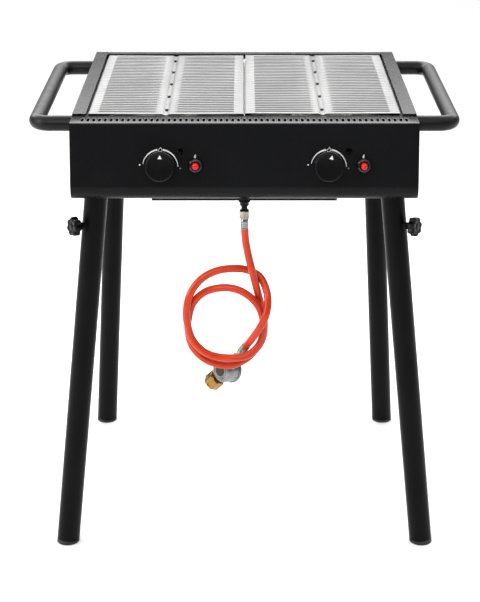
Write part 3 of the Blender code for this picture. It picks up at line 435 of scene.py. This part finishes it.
def mesh_of(bm, name):
    bmesh.ops.remove_doubles(bm, verts=bm.verts, dist=1e-6)
    bmesh.ops.recalc_face_normals(bm, faces=bm.faces)
    mesh = bpy.data.meshes.new(name)
    bm.to_mesh(mesh)
    bm.free()
    return mesh


def link(name, data):
    """A new object in the scene round its mesh, curve, camera or light."""
    obj = bpy.data.objects.new(name, data)
    bpy.context.scene.collection.objects.link(obj)
    return obj


def shade(mesh, angle):
    mesh.shade_smooth()
    mesh.set_sharp_from_angle(angle=math.radians(angle))


def apply_modifiers(obj):
    bpy.context.view_layer.update()
    done = obj.evaluated_get(bpy.context.evaluated_depsgraph_get())
    mesh = bpy.data.meshes.new_from_object(done)
    obj.modifiers.clear()
    obj.data = mesh


def cut(obj, cutter_mesh):
    """Take a mesh away from an object for good."""
    cutter = link("cutter", cutter_mesh)
    modifier = obj.modifiers.new("cut", "BOOLEAN")
    modifier.operation = "DIFFERENCE"
    modifier.solver = "EXACT"
    modifier.object = cutter
    apply_modifiers(obj)
    bpy.data.objects.remove(cutter, do_unlink=True)


def dress(obj, mats, body, nodes=(), angle=35):
    """Give a finished piece its materials, its body and the CAD nodes it stands for."""
    if len(mats) == 1:
        obj.data.materials.clear()
    for key in mats:
        obj.data.materials.append(MATS[key])
    shade(obj.data, angle)
    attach(obj, body)
    if nodes:
        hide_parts(*nodes)
    return obj


def arc(centre, radius, start, stop, steps):
    points = []
    for i in range(steps + 1):
        angle = math.radians(start + (stop - start) * i / steps)
        points.append((centre[0] + radius * math.cos(angle),
                       centre[1] + radius * math.sin(angle)))
    return points


# ---------------------------------------------------------------- hose, fittings and regulator
def add_nut(bm, across, height, bore, place):
    """A hexagonal nut with turned chamfers at both ends and a bore right through it."""
    segments = 72
    flat = across / 2
    corner = flat / math.cos(math.pi / 6)
    levels = ((0.0, flat * 0.94), (0.0006, flat * 0.985), ((corner - flat) * 0.55, corner),
              (height - (corner - flat) * 0.55, corner), (height - 0.0006, flat * 0.985),
              (height, flat * 0.94))
    rings = []
    for z, limit in levels:
        ring = []
        for i in range(segments):
            angle = 2 * math.pi * i / segments
            sector = (angle + math.pi / 6) % (math.pi / 3) - math.pi / 6
            r = min(flat / math.cos(sector), limit, corner * 0.985)
            ring.append((r * math.cos(angle), r * math.sin(angle), z))
        rings.append(ring)
    turns = int(height / 0.0014)
    for i in range(2 * turns + 1):
        depth = bore + (0.0005 if i % 2 else 0.0)
        rings.append(circle(depth, height - height * i / (2 * turns), segments))
    skin(bm, rings, place, loop=True)


def make_hose():
    points, length = smooth_route(HOSE_ROUTE, 220)
    curve = bpy.data.curves.new("gas_hose", "CURVE")
    curve.dimensions = "3D"
    curve.bevel_depth = HOSE_RADIUS
    curve.bevel_resolution = 7
    curve.use_fill_caps = True
    spline = curve.splines.new("POLY")
    spline.points.add(len(points) - 1)
    for point, place in zip(spline.points, points):
        point.co = (*place, 1.0)
    spline.use_smooth = True
    curve.materials.append(MATS["hose"])
    hose = link("orange_hose", curve)
    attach(hose, "frame")
    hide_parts("gas_hose")
    return hose, length


def make_inlet():
    """Vertical gas inlet under the panel, with its flange and neck."""
    low, high = (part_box("gas_inlet")[k][2] for k in (0, 1))
    floor = BOTTOM_Z - 0.0058
    bm = bmesh.new()
    add_lathe(bm, [(0.0078, high), (0.0078, floor - 0.0003), (0.0102, floor - 0.0003),
                   (0.0105, floor - 0.0006), (0.0105, floor - 0.0020), (0.0100, floor - 0.0028),
                   (0.0084, floor - 0.0042), (0.0082, floor - 0.0048), (0.0082, floor - 0.0088),
                   (0.0076, floor - 0.0096), (0.0058, floor - 0.0105), (0.0056, floor - 0.0112),
                   (0.0056, floor - 0.0160), (0.0062, floor - 0.0168), (0.0080, low + 0.0010),
                   (0.0080, low)],
              Matrix.Translation((0, INLET_Y, 0)), 56)
    dress(link("inlet_fitting", mesh_of(bm, "inlet_fitting")), ["knob"], "frame",
          ["gas_inlet"])


def make_hose_start():
    """The union nut below the inlet and the crimped ferrule that holds the hose."""
    low, high = (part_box("hose_nut")[k][2] for k in (0, 1))
    bm = bmesh.new()
    turn = Matrix.Rotation(math.radians(-9), 4, "Z")
    add_nut(bm, 0.0172, high - low, 0.0045, Matrix.Translation((0, INLET_Y, low)) @ turn)
    nut = dress(link("union_nut", mesh_of(bm, "union_nut")), ["nickel"], "frame",
                ["hose_nut"])
    low, high = (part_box("hose_ferrule")[k][2] for k in (0, 1))
    profile = [(0.0040, high), (0.0062, high), (0.0066, high - 0.0006), (0.0068, high - 0.0024)]
    crimps = 4
    pitch = (high - low - 0.0050) / crimps
    for i in range(crimps):
        top = high - 0.0030 - i * pitch
        profile += [(0.0072, top), (0.0072, top - 0.55 * pitch), (0.00685, top - 0.68 * pitch),
                    (0.00685, top - 0.87 * pitch)]
    profile += [(0.0072, low + 0.0016), (0.0072, low + 0.0004), (0.0070, low), (0.0040, low)]
    bm = bmesh.new()
    add_lathe(bm, profile, Matrix.Translation((0, INLET_Y, 0)), 56, loop=True)
    ferrule = dress(link("crimped_ferrule", mesh_of(bm, "crimped_ferrule")), ["chrome"],
                    "frame", ["hose_ferrule"])
    return [nut, ferrule]


def make_regulator():
    """End fitting, die-cast diaphragm housing with its two necks, and the bottle nut."""
    hose_end = Vector(HOSE_ROUTE[-1])
    along = frame_along(hose_end, REGULATOR_AXIS)
    bm = bmesh.new()
    profile = [(0.0040, 0.0010), (0.0073, 0.0010), (0.0077, 0.0014)]
    for i in range(3):
        low = 0.0026 + i * 0.0040
        profile += [(0.0077, low), (0.0072, low + 0.0006), (0.0072, low + 0.0016),
                    (0.0077, low + 0.0022)]
    profile += [(0.0077, 0.0150), (0.0072, 0.0155), (0.0060, 0.0158), (0.0060, 0.0238),
                (0.0062, 0.0242)]
    for i in range(9):
        profile += [(0.0062, 0.0246 + i * 0.0014), (0.0057, 0.0253 + i * 0.0014)]
    profile += [(0.0062, 0.0376), (0.0062, 0.0385)]
    add_lathe(bm, profile, along, 48)
    add_nut(bm, 0.0158, 0.0076, 0.0058, along @ Matrix.Translation((0, 0, 0.0160)))
    fitting = dress(link("end_fitting", mesh_of(bm, "end_fitting")), ["nickel"], "frame",
                    ["hose_end_fitting"])
    centre = hose_end + REGULATOR_AXIS * DRUM_DISTANCE
    drum = frame_along(centre, DRUM_AXIS)
    bottle = frame_along(centre, BOTTLE_AXIS)
    bm = bmesh.new()
    add_lathe(bm, [(0.0175, -0.0180), (0.0190, -0.0178), (0.0205, -0.0172), (0.0240, -0.0152),
                   (0.0250, -0.0145), (0.0257, -0.0134), (0.0265, -0.0125), (0.0265, -0.0108),
                   (0.0258, -0.0106), (0.0258, -0.0102), (0.0265, -0.0100), (0.0265, -0.0087),
                   (0.0258, -0.0080), (0.0243, -0.0078), (0.0238, -0.0070), (0.0235, 0.0100),
                   (0.0232, 0.0118), (0.0225, 0.0136), (0.0210, 0.0154), (0.0190, 0.0167),
                   (0.0172, 0.0172), (0.0168, 0.0166), (0.0150, 0.0166)], drum, 72)
    add_lathe(bm, [(0.0125, 0.0150), (0.0142, 0.0160), (0.0142, 0.0172), (0.0136, 0.0178),
                   (0.0118, 0.0180), (0.0112, 0.0174), (0.0090, 0.0174)], drum, 56)
    add_lathe(bm, [(0.0104, 0.0150), (0.0109, 0.0160), (0.0109, 0.0176), (0.0104, 0.0180),
                   (0.0060, 0.0181), (0.0030, 0.0181)], drum, 56, slot=1)
    screw_ring, screws = 0.0236, 6
    for i in range(screws):
        angle = 2 * math.pi * (i + 0.5) / screws
        spot = Matrix.Translation((screw_ring * math.cos(angle), screw_ring * math.sin(angle), 0))
        add_lathe(bm, [(0.0022, -0.0082), (0.0022, -0.0066), (0.0017, -0.0060),
                       (0.0009, -0.0059)], drum @ spot, 20, slot=2)
    neck, rim = 0.0085, 0.0006
    for place, start, stop in ((along, 0.0388, DRUM_DISTANCE),
                               (bottle, 0.0, BOTTLE_NUT_START - 0.0003)):
        add_lathe(bm, [(neck - rim, start), (neck, start + rim), (neck, stop - rim),
                       (neck - rim, stop)], place, 48)
    collar = DRUM_DISTANCE - 0.0300
    add_lathe(bm, [(neck, collar - 0.0080), (0.0098, collar - 0.0070), (0.0104, collar),
                   (0.0130, collar + 0.0100), (0.0130, collar + 0.0180)], along, 48)
    body = dress(link("regulator_housing", mesh_of(bm, "regulator_housing")),
                 ["zinc", "label", "chrome"], "frame", ["regulator_body"])
    bm = bmesh.new()
    add_nut(bm, 0.0300, 0.0230, 0.0070, bottle @ Matrix.Translation((0, 0, BOTTLE_NUT_START)))
    nut = dress(link("bottle_nut", mesh_of(bm, "bottle_nut")), ["brass"], "frame",
                ["regulator_nut"])
    return [fitting, body, nut]


# ---------------------------------------------------------------- body shell
def panel_outline(inset):
    """The front panel's outline in (y, z), moved inwards by `inset`."""
    bend_radius, fold_radius, return_length = 0.025, 0.0025, 0.015
    centre_z = BOTTOM_Z + bend_radius
    centre_y = FRONT + ((bend_radius + (centre_z - LEDGE_Z) * math.sin(PANEL_LEAN))
                        / math.cos(PANEL_LEAN))
    fold_y = FRONT + inset * (1 - math.sin(PANEL_LEAN)) / math.cos(PANEL_LEAN)
    fold_z = LEDGE_Z - inset
    radius = max(fold_radius - inset, 0.0004)
    setback = radius * math.tan((math.pi / 2 - PANEL_LEAN) / 2)
    lean = math.degrees(PANEL_LEAN)
    points = [(FRONT + LEDGE_DEPTH, fold_z)]
    points += arc((fold_y + setback, fold_z - radius), radius, 90, 180 - lean, 8)
    points += arc((centre_y, centre_z), bend_radius - inset, 180 - lean, 270, 24)
    points.append((centre_y + return_length, BOTTOM_Z + inset))
    return points


def stadium(width, length):
    """A slot outline with round ends, along Y."""
    r, steps = width / 2, 6
    return (arc((0.0, length / 2 - r), r, 0, 180, steps)
            + arc((0.0, r - length / 2), r, 180, 360, steps))


def make_front_panel():
    """Folded front: vented ledge, leaning face with the control holes, and the bend below."""
    sheet = 0.0012
    outline = panel_outline(0.0) + panel_outline(sheet)[::-1]
    between_vents = [(i - VENT_COUNT / 2) * VENT_PITCH for i in range(VENT_COUNT + 1)]
    stations = [-HALF] + between_vents + [HALF]
    bm = bmesh.new()
    skin(bm, [[(x, y, z) for y, z in outline] for x in stations])
    soften(bm, 0.0003)
    panel = link("vented_front", mesh_of(bm, "vented_front"))
    bm = bmesh.new()
    for i in range(VENT_COUNT):
        x = (i - (VENT_COUNT - 1) / 2) * VENT_PITCH
        add_plate(bm, stadium(*VENT_SIZE), -0.01, 0.01, Matrix.Translation((x, VENT_Y, LEDGE_Z)))
    for side in SIDES:
        x = sign_of(side) * KNOB_X
        for dx, dz, radius in ((0.0, 0.0, 0.0075), (IGNITER_X, 0.0, 0.0088),
                               (SIGHT_X, SIGHT_RISE, 0.0056)):
            add_lathe(bm, [(radius, -0.02), (radius, 0.02)], control_frame(x + dx, CONTROL_Z + dz))
    gap, back = 0.012, 0.02
    notch = ((-gap, INLET_Y - gap), (gap, INLET_Y - gap), (gap, INLET_Y + back),
             (-gap, INLET_Y + back))
    add_plate(bm, notch, BOTTOM_Z - 0.01, BOTTOM_Z + 0.01)
    cut(panel, mesh_of(bm, "holes"))
    dress(panel, ["paint"], "frame", ["front_panel"], angle=30)


def make_sight_rims():
    """A thin rolled rim round each sight hole."""
    for side in SIDES:
        bm = bmesh.new()
        place = control_frame(sign_of(side) * KNOB_X + SIGHT_X, CONTROL_Z + SIGHT_RISE)
        add_lathe(bm, [(0.0052, -0.0010), (0.0052, 0.0002), (0.0056, 0.0006), (0.0063, 0.0005),
                       (0.0066, 0.0001), (0.0054, 0.0001), (0.0054, -0.0010)], place, 40,
                  loop=True)
        dress(link(f"sight_rim_{side}", mesh_of(bm, "sight_rim")), ["frame_paint"], "frame")


def make_handle(side):
    """Bent tube handle with the weld bead where each arm meets the side panel."""
    s = sign_of(side)
    y0, y1 = HANDLE_ENDS
    bend_x = HANDLE_X - HANDLE_BEND
    start = HALF + 0.0003
    path = [(start + (bend_x - start) * i / 4, y0) for i in range(4)]
    path += arc((bend_x, y0 + HANDLE_BEND), HANDLE_BEND, -90, 0, 16)
    straight = (y1 - y0 - 2 * HANDLE_BEND) / 12
    path += [(HANDLE_X, y0 + HANDLE_BEND + straight * i) for i in range(1, 12)]
    path += arc((bend_x, y1 - HANDLE_BEND), HANDLE_BEND, 0, 90, 16)
    path += [(bend_x + (start - bend_x) * i / 4, y1) for i in range(1, 5)]
    bm = bmesh.new()
    add_tube(bm, [(s * x, y, HANDLE_Z) for x, y in path], HANDLE_RADIUS, 48)
    bead = [(HANDLE_RADIUS - 0.0008, 0.0001), (HANDLE_RADIUS + 0.0020, 0.0001),
            (HANDLE_RADIUS + 0.0018, 0.0010), (HANDLE_RADIUS + 0.0010, 0.0020),
            (HANDLE_RADIUS - 0.0008, 0.0026)]
    for y in (y0, y1):
        place = frame_along((s * start, y, HANDLE_Z), (s, 0, 0))
        add_lathe(bm, bead, place, 64, loop=True)
    handle = link(f"tube_handle_{side}", mesh_of(bm, "handle"))
    dress(handle, ["handle_paint"], "frame", [f"handle_{side}"])


# ---------------------------------------------------------------- grates
def grate_section():
    """Cross-section of a plate as (x, z), from its outer flange to the seam."""
    low = TOP_Z - PLATE_FALL
    points = [(GRATE_OUTER, TOP_Z - 0.008), (GRATE_OUTER, TOP_Z - 0.0035)]
    points += arc((GRATE_OUTER - 0.0022, TOP_Z - 0.0022), 0.0022, 0, 90, 5)
    outer_edge, valley_edge = GRATE_OUTER - OUTER_MARGIN, VALLEY_X + VALLEY_HALF
    points += field_points(outer_edge, TOP_Z, valley_edge, low)
    valley = ((0.0062, 0.0002), (0.0048, 0.0007), (0.0034, 0.0014), (0.0018, 0.0020),
              (0.0, VALLEY_DEPTH))
    points += [(VALLEY_X + x, low - drop) for x, drop in valley]
    points += [(VALLEY_X - x, low - drop) for x, drop in valley[-2::-1]]
    points += field_points(VALLEY_X - VALLEY_HALF, low, INNER_MARGIN, TOP_Z)
    points.append((0.0060, TOP_Z))
    points += arc((GRATE_SEAM + 0.0026, TOP_Z - 0.0026), 0.0026, 90, 180, 5)
    points += [(GRATE_SEAM, TOP_Z - 0.008)]
    return points


def field_points(x0, z0, x1, z1):
    """Stations across a slitted field; close together at both ends, where the slits round off."""
    width = abs(x1 - x0)
    shares = [d / width for d in (0.0, 0.0007, 0.0014, 0.0021, 0.0045, 0.012)]
    stations = shares + [0.3, 0.5, 0.7] + [1 - share for share in shares[::-1]]
    return [(x0 + (x1 - x0) * t, z0 + (z1 - z0) * t) for t in stations]


def field_reach(x):
    """How far inside a slitted field x lies; negative outside both."""
    outer_low = GRATE_OUTER - OUTER_MARGIN - FIELD_WIDTH
    inner = min(x - INNER_MARGIN, INNER_MARGIN + FIELD_WIDTH - x)
    outer = min(x - outer_low, GRATE_OUTER - OUTER_MARGIN - x)
    return max(inner, outer)


def plate_rows(y0, y1):
    """Rows across a plate as (y, fall at the plate's end, fall at a slit)."""
    rows = [(y0 + inset, fall, 0.0) for inset, fall in PLATE_ROLL]
    for i in range(SLIT_COUNT):
        y = (y0 + y1) / 2 + (i - (SLIT_COUNT - 1) / 2) * SLIT_PITCH
        rows.append((y - SLIT_PITCH / 2, 0.0, 0.0))
        rows += [(y + offset, 0.0, fall) for offset, fall in SLIT_LIP]
        rows += [(y - offset, 0.0, fall) for offset, fall in SLIT_LIP[::-1]]
    rows.append((y + SLIT_PITCH / 2, 0.0, 0.0))
    rows += [(y1 - inset, fall, 0.0) for inset, fall in PLATE_ROLL[::-1]]
    return rows


def slit_end(y, reach, is_front):
    """Where the front or rear edge of a slit lies at a reach inside its rounded end.

    Known fault: inside the rounding, the front edge lies half a slit too far back, and at the very
    end of a slit it folds over the rear edge.
    """
    half = SLIT_SIZE / 2
    if not -1e-6 <= reach < half:
        return y
    open_half = math.sqrt(max(half * half - (half - reach) ** 2, 0.0))
    return y + SLIT_SIZE - open_half if is_front else y - half + open_half


def grate_mesh(side, rows):
    """The pressed sheet of a plate; the faces that would lie inside a slit are left out."""
    s = sign_of(side)
    at_slit = [slit_fall == SLIT_LIP[-1][1] for _, _, slit_fall in rows]
    section = grate_section()
    blend = 0.0030               # a slit's fall fades in this far on both sides of a field's edge
    bm = bmesh.new()
    grid = []
    for n, (y, end_fall, slit_fall) in enumerate(rows):
        row = []
        for x, z in section:
            reach = field_reach(x)
            share = min(max((reach + blend) / (2 * blend), 0.0), 1.0)
            share = share * share * (3 - 2 * share)
            row_y = slit_end(y, reach, at_slit[n + 1]) if at_slit[n] else y
            row.append(bm.verts.new((s * x, row_y, z - end_fall - slit_fall * share)))
        grid.append(row)
    for n in range(len(grid) - 1):
        slit_here = at_slit[n] and at_slit[n + 1]
        for i in range(len(section) - 1):
            inside = min(field_reach(section[i][0]), field_reach(section[i + 1][0])) > -1e-6
            if slit_here and inside:
                continue
            quad = [grid[n][i], grid[n][i + 1], grid[n + 1][i + 1], grid[n + 1][i]]
            bm.faces.new(quad if s > 0 else quad[::-1])
    bmesh.ops.remove_doubles(bm, verts=bm.verts, dist=1e-6)
    bm.normal_update()
    up = sum(face.normal.z * face.calc_area() for face in bm.faces)
    if up < 0:
        bmesh.ops.reverse_faces(bm, faces=bm.faces)
    mesh = bpy.data.meshes.new("grate")
    bm.to_mesh(mesh)
    bm.free()
    return mesh


def make_grate(side):
    """Pressed grill plate: crowned bars between rounded slits, a drain valley and rolled edges."""
    s = sign_of(side)
    y0 = GRATE_FRONT + GRATE_STAGGER * (1 + s)
    y1 = y0 + GRATE_LENGTH
    grate = link(f"grill_plate_{side}", grate_mesh(side, plate_rows(y0, y1)))
    wall = grate.modifiers.new("wall", "SOLIDIFY")
    wall.thickness = 0.0013
    wall.offset = -1.0
    apply_modifiers(grate)
    bm = bmesh.new()
    for i in range(DRAIN_COUNT):
        y = y0 + DRAIN_FIRST + i * DRAIN_PITCH
        place = Matrix.Translation((s * VALLEY_X, y, TOP_Z))
        add_plate(bm, stadium(*DRAIN_SIZE), -0.012, -0.0012, place)
    notch_x, notch_y = GRATE_SEAM + 0.0018, y1 - NOTCH_LENGTH
    notch = ((-0.001, notch_y), (notch_x, notch_y), (notch_x, y1 + 0.01), (-0.001, y1 + 0.01))
    add_plate(bm, [(s * x, y) for x, y in notch], TOP_Z - 0.02, TOP_Z + 0.005)
    cut(grate, mesh_of(bm, "drains"))
    dress(grate, ["grate"], f"grate_{side}", [f"grate_{side}"], angle=50)


# ---------------------------------------------------------------- controls
def knob_face(radius):
    """Height of the knob's dished face at a radius from its axis."""
    return 0.0269 + 0.0012 * (radius / 0.0200) ** 2


def make_knob(side, turn):
    """Round knob with a dished face and a white pointer, turned clockwise by `turn` degrees."""
    place = control_frame(sign_of(side) * KNOB_X)
    bm = bmesh.new()
    face = [(r, knob_face(r)) for r in (0.0195, 0.0150, 0.0100, 0.0050, 0.0008)]
    add_lathe(bm, [(0.0034, 0.0210), (0.0034, 0.0058), (0.0150, 0.0055), (0.0236, 0.0055),
                   (0.0246, 0.0058), (0.0252, 0.0066), (0.0255, 0.0078), (0.0255, 0.0120),
                   (0.0253, 0.0240), (0.0249, 0.0262), (0.0242, 0.0276), (0.0232, 0.0284),
                   (0.0222, 0.0285), (0.0212, 0.0283)] + face, place, 96)
    turned = place @ Matrix.Rotation(-math.radians(turn), 4, "Z")
    rings = []
    base, tip, half_base = 0.0148, 0.0212, 0.0036
    for i in range(8):
        r = base + (tip - base) * i / 7
        half = half_base + (0.0003 - half_base) * i / 7
        top = knob_face(r) + 0.00025
        rings.append([(-half, r, top - 0.0008), (half, r, top - 0.0008),
                      (half, r, top), (-half, r, top)])
    skin(bm, rings, turned, slot=1)
    knob = link(f"dial_knob_{side}", mesh_of(bm, "knob"))
    dress(knob, ["knob", "print"], f"knob_{side}", [f"control_knob_{side}"])


def make_dial(side):
    """Printed marks round a knob: tapering arc, flame sign, two dots and a spark sign."""
    place = control_frame(sign_of(side) * KNOB_X) @ Matrix.Translation((0.0, -DIAL_DROP, 0.0))
    low, high = 0.00004, 0.00022
    bm = bmesh.new()
    radius, gap = 0.0310, 8.8
    for start, stop in ((168.0, 90.0 + gap), (2.0, 90.0 - gap)):
        path = arc((0, 0), radius, start, stop, 40)
        add_stroke(bm, path, lambda t: 0.0009 + 0.0023 * t ** 1.3, low, high, place)
    flame = ((0.0, -0.0034), (0.0026, -0.0030), (0.0036, -0.0008), (0.0027, 0.0014),
             (0.0009, 0.0040), (-0.0002, 0.0022), (-0.0018, 0.0009), (-0.0034, -0.0008),
             (-0.0027, -0.0030))
    add_stroke(bm, [(x, y + radius) for x, y in flame], 0.0008, low, high, place, closed=True)
    bolt = ((0.0004, 0.0046), (-0.0020, -0.0006), (-0.0003, -0.0006), (-0.0010, -0.0046),
            (0.0020, 0.0010), (0.0003, 0.0010), (0.0016, 0.0046))
    spark = place @ Matrix.Translation((0.0608, 0.0180, 0.0))
    add_plate(bm, bolt, low, high, spark)
    for x, y, r, slot in ((-0.0358, 0.0043, 0.0013, 0), (0.0349, -0.0020, 0.0012, 1)):
        add_lathe(bm, [(r, low), (r, high)], place @ Matrix.Translation((x, y, 0)), 24, slot)
    dress(link(f"dial_marks_{side}", mesh_of(bm, "dial")), ["print", "faint"], "frame")


def make_igniter(side):
    """Glossy igniter collar and its domed red button."""
    place = control_frame(sign_of(side) * KNOB_X + IGNITER_X)
    bm = bmesh.new()
    add_lathe(bm, [(0.0065, 0.0080), (0.0067, 0.0085), (0.0072, 0.0088), (0.0094, 0.0087),
                   (0.0102, 0.0083), (0.0109, 0.0075), (0.0121, 0.0060), (0.0127, 0.0050),
                   (0.0130, 0.0038), (0.0130, 0.0004), (0.0085, 0.0003), (0.0085, -0.0400),
                   (0.0020, -0.0400), (0.0020, -0.0360), (0.0065, -0.0360)], place, 72,
              loop=True)
    dress(link(f"igniter_collar_{side}", mesh_of(bm, "collar")), ["collar"], "frame",
          [f"igniter_body_{side}"])
    bm = bmesh.new()
    add_lathe(bm, [(0.0060, -0.0200), (0.0060, 0.0150), (0.0059, 0.0160), (0.0056, 0.0172),
                   (0.0050, 0.0182), (0.0046, 0.0184), (0.0043, 0.0183), (0.0039, 0.0188),
                   (0.0028, 0.0197), (0.0015, 0.0202), (0.0004, 0.0203)], place, 56)
    dress(link(f"igniter_cap_{side}", mesh_of(bm, "cap")), ["red"], f"igniter_button_{side}",
          [f"igniter_button_{side}"])


# ---------------------------------------------------------------- legs
def make_leg(end, side):
    """Round leg with the welded boss of its clamping screw, its foot plug and the star knob."""
    place, length = leg_frame(end, side)
    star = star_frame(end, side)
    corner = f"{end}_{side}"
    bottom = 0.0065
    bm = bmesh.new()
    inner = LEG_RADIUS - 0.0015
    add_lathe(bm, [(inner, bottom), (LEG_RADIUS - 0.0003, bottom), (LEG_RADIUS, bottom + 0.0004),
                   (LEG_RADIUS, length - 0.0004), (LEG_RADIUS - 0.0003, length),
                   (inner, length)], place, 96, loop=True)
    add_lathe(bm, [(0.0043, 0.0190), (0.0080, 0.0196), (0.0074, 0.0212), (0.0066, 0.0224),
                   (0.0065, 0.0258), (0.0062, 0.0264), (0.0056, 0.0265), (0.0043, 0.0265)],
              star, 40, loop=True)
    dress(link(f"tube_leg_{corner}", mesh_of(bm, "leg")), ["frame_paint"], f"leg_{corner}",
          [f"leg_{corner}"])
    bm = bmesh.new()
    add_lathe(bm, [(LEG_RADIUS, -0.0080), (LEG_RADIUS, 0.0056), (LEG_RADIUS - 0.0004, 0.0061),
                   (0.0187, 0.0062), (0.0187, 0.0242)], place, 96)
    geometry = bm.verts[:] + bm.edges[:] + bm.faces[:]
    bmesh.ops.bisect_plane(bm, geom=geometry, plane_co=(0, 0, 0), plane_no=(0, 0, 1),
                           clear_inner=True)
    bmesh.ops.holes_fill(bm, edges=bm.edges[:], sides=0)
    soften(bm, 0.0004)
    dress(link(f"foot_plug_{corner}", mesh_of(bm, "foot")), ["cap"], f"leg_{corner}",
          [f"foot_cap_{corner}"])
    dress(link(f"lobed_knob_{corner}", star_knob_mesh(star)), ["knob"], f"star_knob_{corner}",
          [f"star_knob_{corner}"])


def star_knob_mesh(place):
    """Seven rounded lobes round a hub, moulded on a threaded stud."""
    lobes, segments = 7, 112
    levels = ((0.0335, 0.80, 0.5), (0.0338, 0.92, 0.9), (0.0348, 0.98, 1.0), (0.0362, 1.0, 1.0),
              (0.0440, 1.0, 1.0), (0.0456, 0.975, 1.0), (0.0466, 0.93, 0.9), (0.0470, 0.86, 0.7),
              (0.0470, 0.62, 0.3), (0.0466, 0.58, 0.1), (0.0466, 0.30, 0.0), (0.0470, 0.26, 0.0),
              (0.0470, 0.05, 0.0))
    rings = [circle(0.0039, 0.0193, segments)]
    for i in range(8):
        rings.append(circle(0.0039, 0.0197 + i * 0.0011, segments))
        rings.append(circle(0.0035, 0.0202 + i * 0.0011, segments))
    rings += [circle(0.0039, 0.0286, segments), circle(0.0075, 0.0290, segments),
              circle(0.0080, 0.0300, segments), circle(0.0095, 0.0335, segments)]
    for z, scale, waviness in levels:
        ring = []
        for i in range(segments):
            angle = 2 * math.pi * i / segments
            wave = math.cos(lobes * angle)
            radius = scale * (0.0160 + 0.0018 * waviness * wave)
            ring.append((radius * math.cos(angle), radius * math.sin(angle), z))
        rings.append(ring)
    bm = bmesh.new()
    skin(bm, rings, place)
    return mesh_of(bm, "star")


# ---------------------------------------------------------------- carried-over CAD nodes
KEPT = {
    "paint": ["rear_panel", "control_box_floor", "side_panel_left", "side_panel_right"],
    "frame_paint": [f"leg_socket_{end}_{side}" for end, side in CORNERS],
    "inner": ["bulkhead", "gas_manifold", "tray_runner_left", "tray_runner_right"],
    "steel": ["grate_centre_bar", "drip_tray", "valve_spindle_left", "valve_spindle_right"],
    "burner": ["burner_left", "burner_right", "heat_deflector_left", "heat_deflector_right"],
    "brass": ["gas_valve_left", "gas_valve_right", "valve_plug_left", "valve_plug_right",
              "injector_left", "injector_right"],
    "ceramic": ["ignition_electrode_left", "ignition_electrode_right"],
    "wire": ["ignition_lead_left", "ignition_lead_right"],
}
SOFT_EDGES = ("rear_panel", "control_box_floor", "side_panel_left", "side_panel_right",
              "drip_tray", "heat_deflector_left", "heat_deflector_right", "grate_centre_bar")


def refinish_nodes():
    """Procedural finishes on the CAD nodes that stay, with small rounds on folded sheet edges."""
    for key, names in KEPT.items():
        for name in names:
            obj = NODES[name]
            for material_slot in obj.material_slots:
                material_slot.material = MATS[key]
    for name in SOFT_EDGES:
        rounding = NODES[name].modifiers.new("soft_edges", "BEVEL")
        rounding.width = 0.0004
        rounding.segments = 2
        rounding.limit_method = "ANGLE"
        rounding.angle_limit = math.radians(40)
        rounding.harden_normals = True


# ---------------------------------------------------------------- assembly
make_camera()
make_stage()
hose, hose_length = make_hose()
on_hose = make_hose_start() + make_regulator()
make_inlet()
make_front_panel()
make_sight_rims()
for side, turn in zip(SIDES, (2.0, 13.0)):
    make_handle(side)
    make_grate(side)
    make_knob(side, turn)
    make_dial(side)
    make_igniter(side)
for end, side in CORNERS:
    make_leg(end, side)
refinish_nodes()
